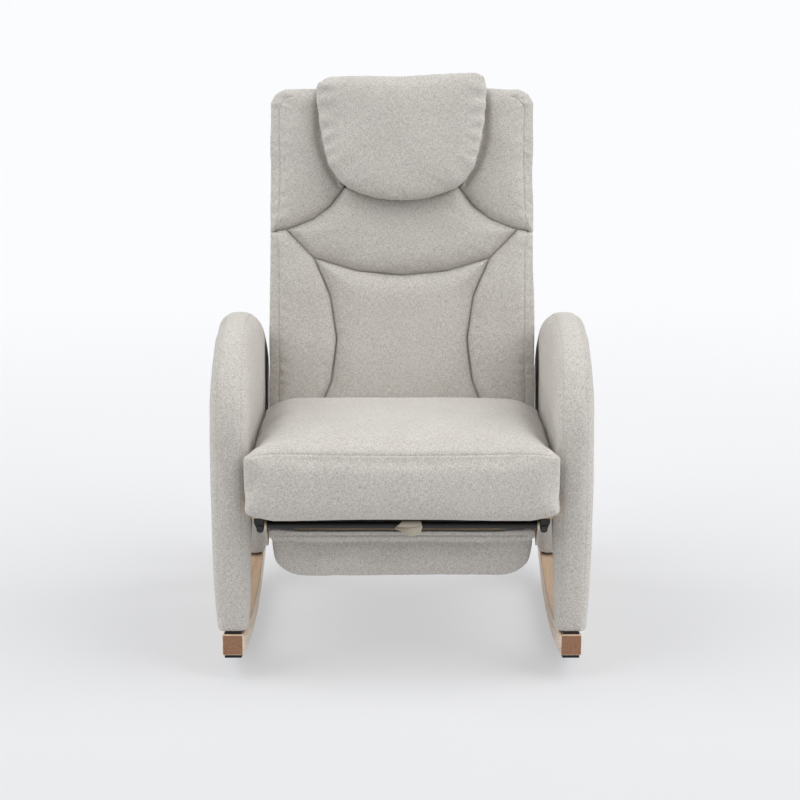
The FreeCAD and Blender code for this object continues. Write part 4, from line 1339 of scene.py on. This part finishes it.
class RECLINER_OT_pull_tab(bpy.types.Operator):
    """Fold the pull tab's tape round the crossbar, with its loose end askew in front"""

    bl_idname = "recliner.pull_tab"
    bl_label = "Pull tab"

    def execute(self, context):
        low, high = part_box("footrest_crossbar")
        bar = (low + high) / 2
        radius = (high.z - low.z) / 2 + 0.0012
        bpy.ops.object.select_all(action="DESELECT")
        bpy.ops.mesh.primitive_grid_add(x_subdivisions=22, y_subdivisions=34, size=1.0)
        tab = context.object
        tab.name = "pull_tab_tape"
        places = points_of(tab)
        across = places[:, 0] + 0.5
        along = places[:, 1] + 0.5
        wrapped = 0.55
        # Crosswise lines of the loose end: where it leaves the bar, its middle and its hem.
        head = along_line([(-0.0137, -0.004), (0.0015, -0.0042), (0.0082, -0.0035), (0.0200, 0.0),
                           (0.0317, 0.0025), (0.0370, 0.0012)], across)
        hem = along_line([(-0.0137, -0.0045), (-0.0001, -0.0115), (0.0123, -0.0195), (0.0211, -0.0200),
                          (0.0325, -0.0172), (0.0358, -0.0070)], across)
        turn = np.clip(along / wrapped, 0.0, 1.0)
        angle = math.radians(215.0) - turn * math.radians(235.0)
        narrow = along_line([(0.003, 0.0), (0.034, 0.0)], across)
        x = narrow[:, 0] + (head[:, 0] - narrow[:, 0]) * turn ** 3
        y = bar.y + radius * np.cos(math.pi - angle)
        z = bar.z + radius * np.sin(angle) * 0.98
        loose = np.clip((along - wrapped) / (1.0 - wrapped), 0.0, 1.0)
        out = along > wrapped
        last_y = bar.y - radius * math.cos(math.radians(-20.0))
        curl = 0.0030 * np.sin(across * 4.0 + 0.6) * loose + 0.0035 * loose ** 0.6
        x = np.where(out, head[:, 0] + (hem[:, 0] - head[:, 0]) * loose, x)
        y = np.where(out, last_y - 0.0004 - curl, y)
        start_z = bar.z + radius * math.sin(math.radians(-20.0)) * 0.98
        drape = start_z + (head[:, 1] + 0.0025 - start_z + bar.z) * np.clip(loose * 4.0, 0.0, 1.0)
        z = np.where(out, drape + (hem[:, 1] - head[:, 1]) * loose, z)
        put_points(tab, np.stack([x, y, z], axis=1))
        apply_modifier(tab, "SMOOTH", "ease", factor=0.5, iterations=2)
        apply_modifier(tab, "SOLIDIFY", "tape", thickness=0.0011, offset=0.0)
        apply_modifier(tab, "SUBSURF", "finer", levels=1, render_levels=1)
        finish_piece(tab, CARRIAGE, MATERIALS["tab"])
        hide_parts("pull_tab")
        return {"FINISHED"}


class RECLINER_OT_dust_cover(bpy.types.Operator):
    """Stretch the dust cloth under the seat"""

    bl_idname = "recliner.dust_cover"
    bl_label = "Dust cloth"

    def execute(self, context):
        low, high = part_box("seat_dust_cover")
        bpy.ops.object.select_all(action="DESELECT")
        bpy.ops.mesh.primitive_grid_add(x_subdivisions=40, y_subdivisions=36, size=1.0)
        cloth = context.object
        cloth.name = "dust_cloth"
        places = points_of(cloth)
        size = high - low
        share_x = places[:, 0] + 0.5
        share_y = places[:, 1] + 0.5
        sag = np.sin(share_x * math.pi) ** 0.7 * np.sin(share_y * math.pi) ** 0.7
        x = low.x + share_x * size.x
        y = low.y + share_y * size.y
        flat = np.stack([x, y, np.zeros_like(x)], axis=1)
        z = (low.z + high.z) / 2 - 0.006 * sag - 0.0008 * sag * swell(flat, 0.08, 71)
        put_points(cloth, np.stack([x, y, z], axis=1))
        apply_modifier(cloth, "SOLIDIFY", "cloth", thickness=0.0006, offset=0.0)
        finish_piece(cloth, BASE, MATERIALS["dust_cloth"])
        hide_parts("seat_dust_cover")
        return {"FINISHED"}


# ------------------------------------------------------------------ panel and registration
class RECLINER_PT_panel(bpy.types.Panel):
    """The chair's pieces, in the order in which they are made"""

    bl_label = "Rocking recliner"
    bl_idname = "RECLINER_PT_panel"
    bl_space_type = "VIEW_3D"
    bl_region_type = "UI"
    bl_category = "Recliner"

    def draw(self, context):
        for operator in OPERATORS:
            self.layout.operator(operator.bl_idname)
        for group in (cloth_settings(), fitting_settings(), stage_settings()):
            box = self.layout.box()
            for name in group.__annotations__:
                box.prop(group, name)


SETTINGS = (ReclinerClothSettings, ReclinerFittingSettings, ReclinerStageSettings)
OPERATORS = (RECLINER_OT_stage, RECLINER_OT_finishes, RECLINER_OT_arms, RECLINER_OT_seat,
             RECLINER_OT_back, RECLINER_OT_pillow, RECLINER_OT_seam_tape, RECLINER_OT_back_panel,
             RECLINER_OT_footrest, RECLINER_OT_pull_tab, RECLINER_OT_dust_cover)


def register():
    for made in SETTINGS + OPERATORS + (RECLINER_PT_panel,):
        bpy.utils.register_class(made)
    bpy.types.Scene.recliner_cloth = PointerProperty(type=ReclinerClothSettings)
    bpy.types.Scene.recliner_fittings = PointerProperty(type=ReclinerFittingSettings)
    bpy.types.Scene.recliner_stage = PointerProperty(type=ReclinerStageSettings)


def unregister():
    del bpy.types.Scene.recliner_stage
    del bpy.types.Scene.recliner_fittings
    del bpy.types.Scene.recliner_cloth
    for made in reversed(SETTINGS + OPERATORS + (RECLINER_PT_panel,)):
        bpy.utils.unregister_class(made)


def main():
    register()
    make_materials()
    bpy.ops.recliner.stage()
    bpy.ops.recliner.finishes()
    bpy.ops.recliner.arms()
    bpy.ops.recliner.seat()
    bpy.ops.recliner.back()
    bpy.ops.recliner.pillow()
    bpy.ops.recliner.seam_tape()
    bpy.ops.recliner.back_panel()
    bpy.ops.recliner.footrest()
    bpy.ops.recliner.pull_tab()
    bpy.ops.recliner.dust_cover()


if __name__ == "__main__":
    main()
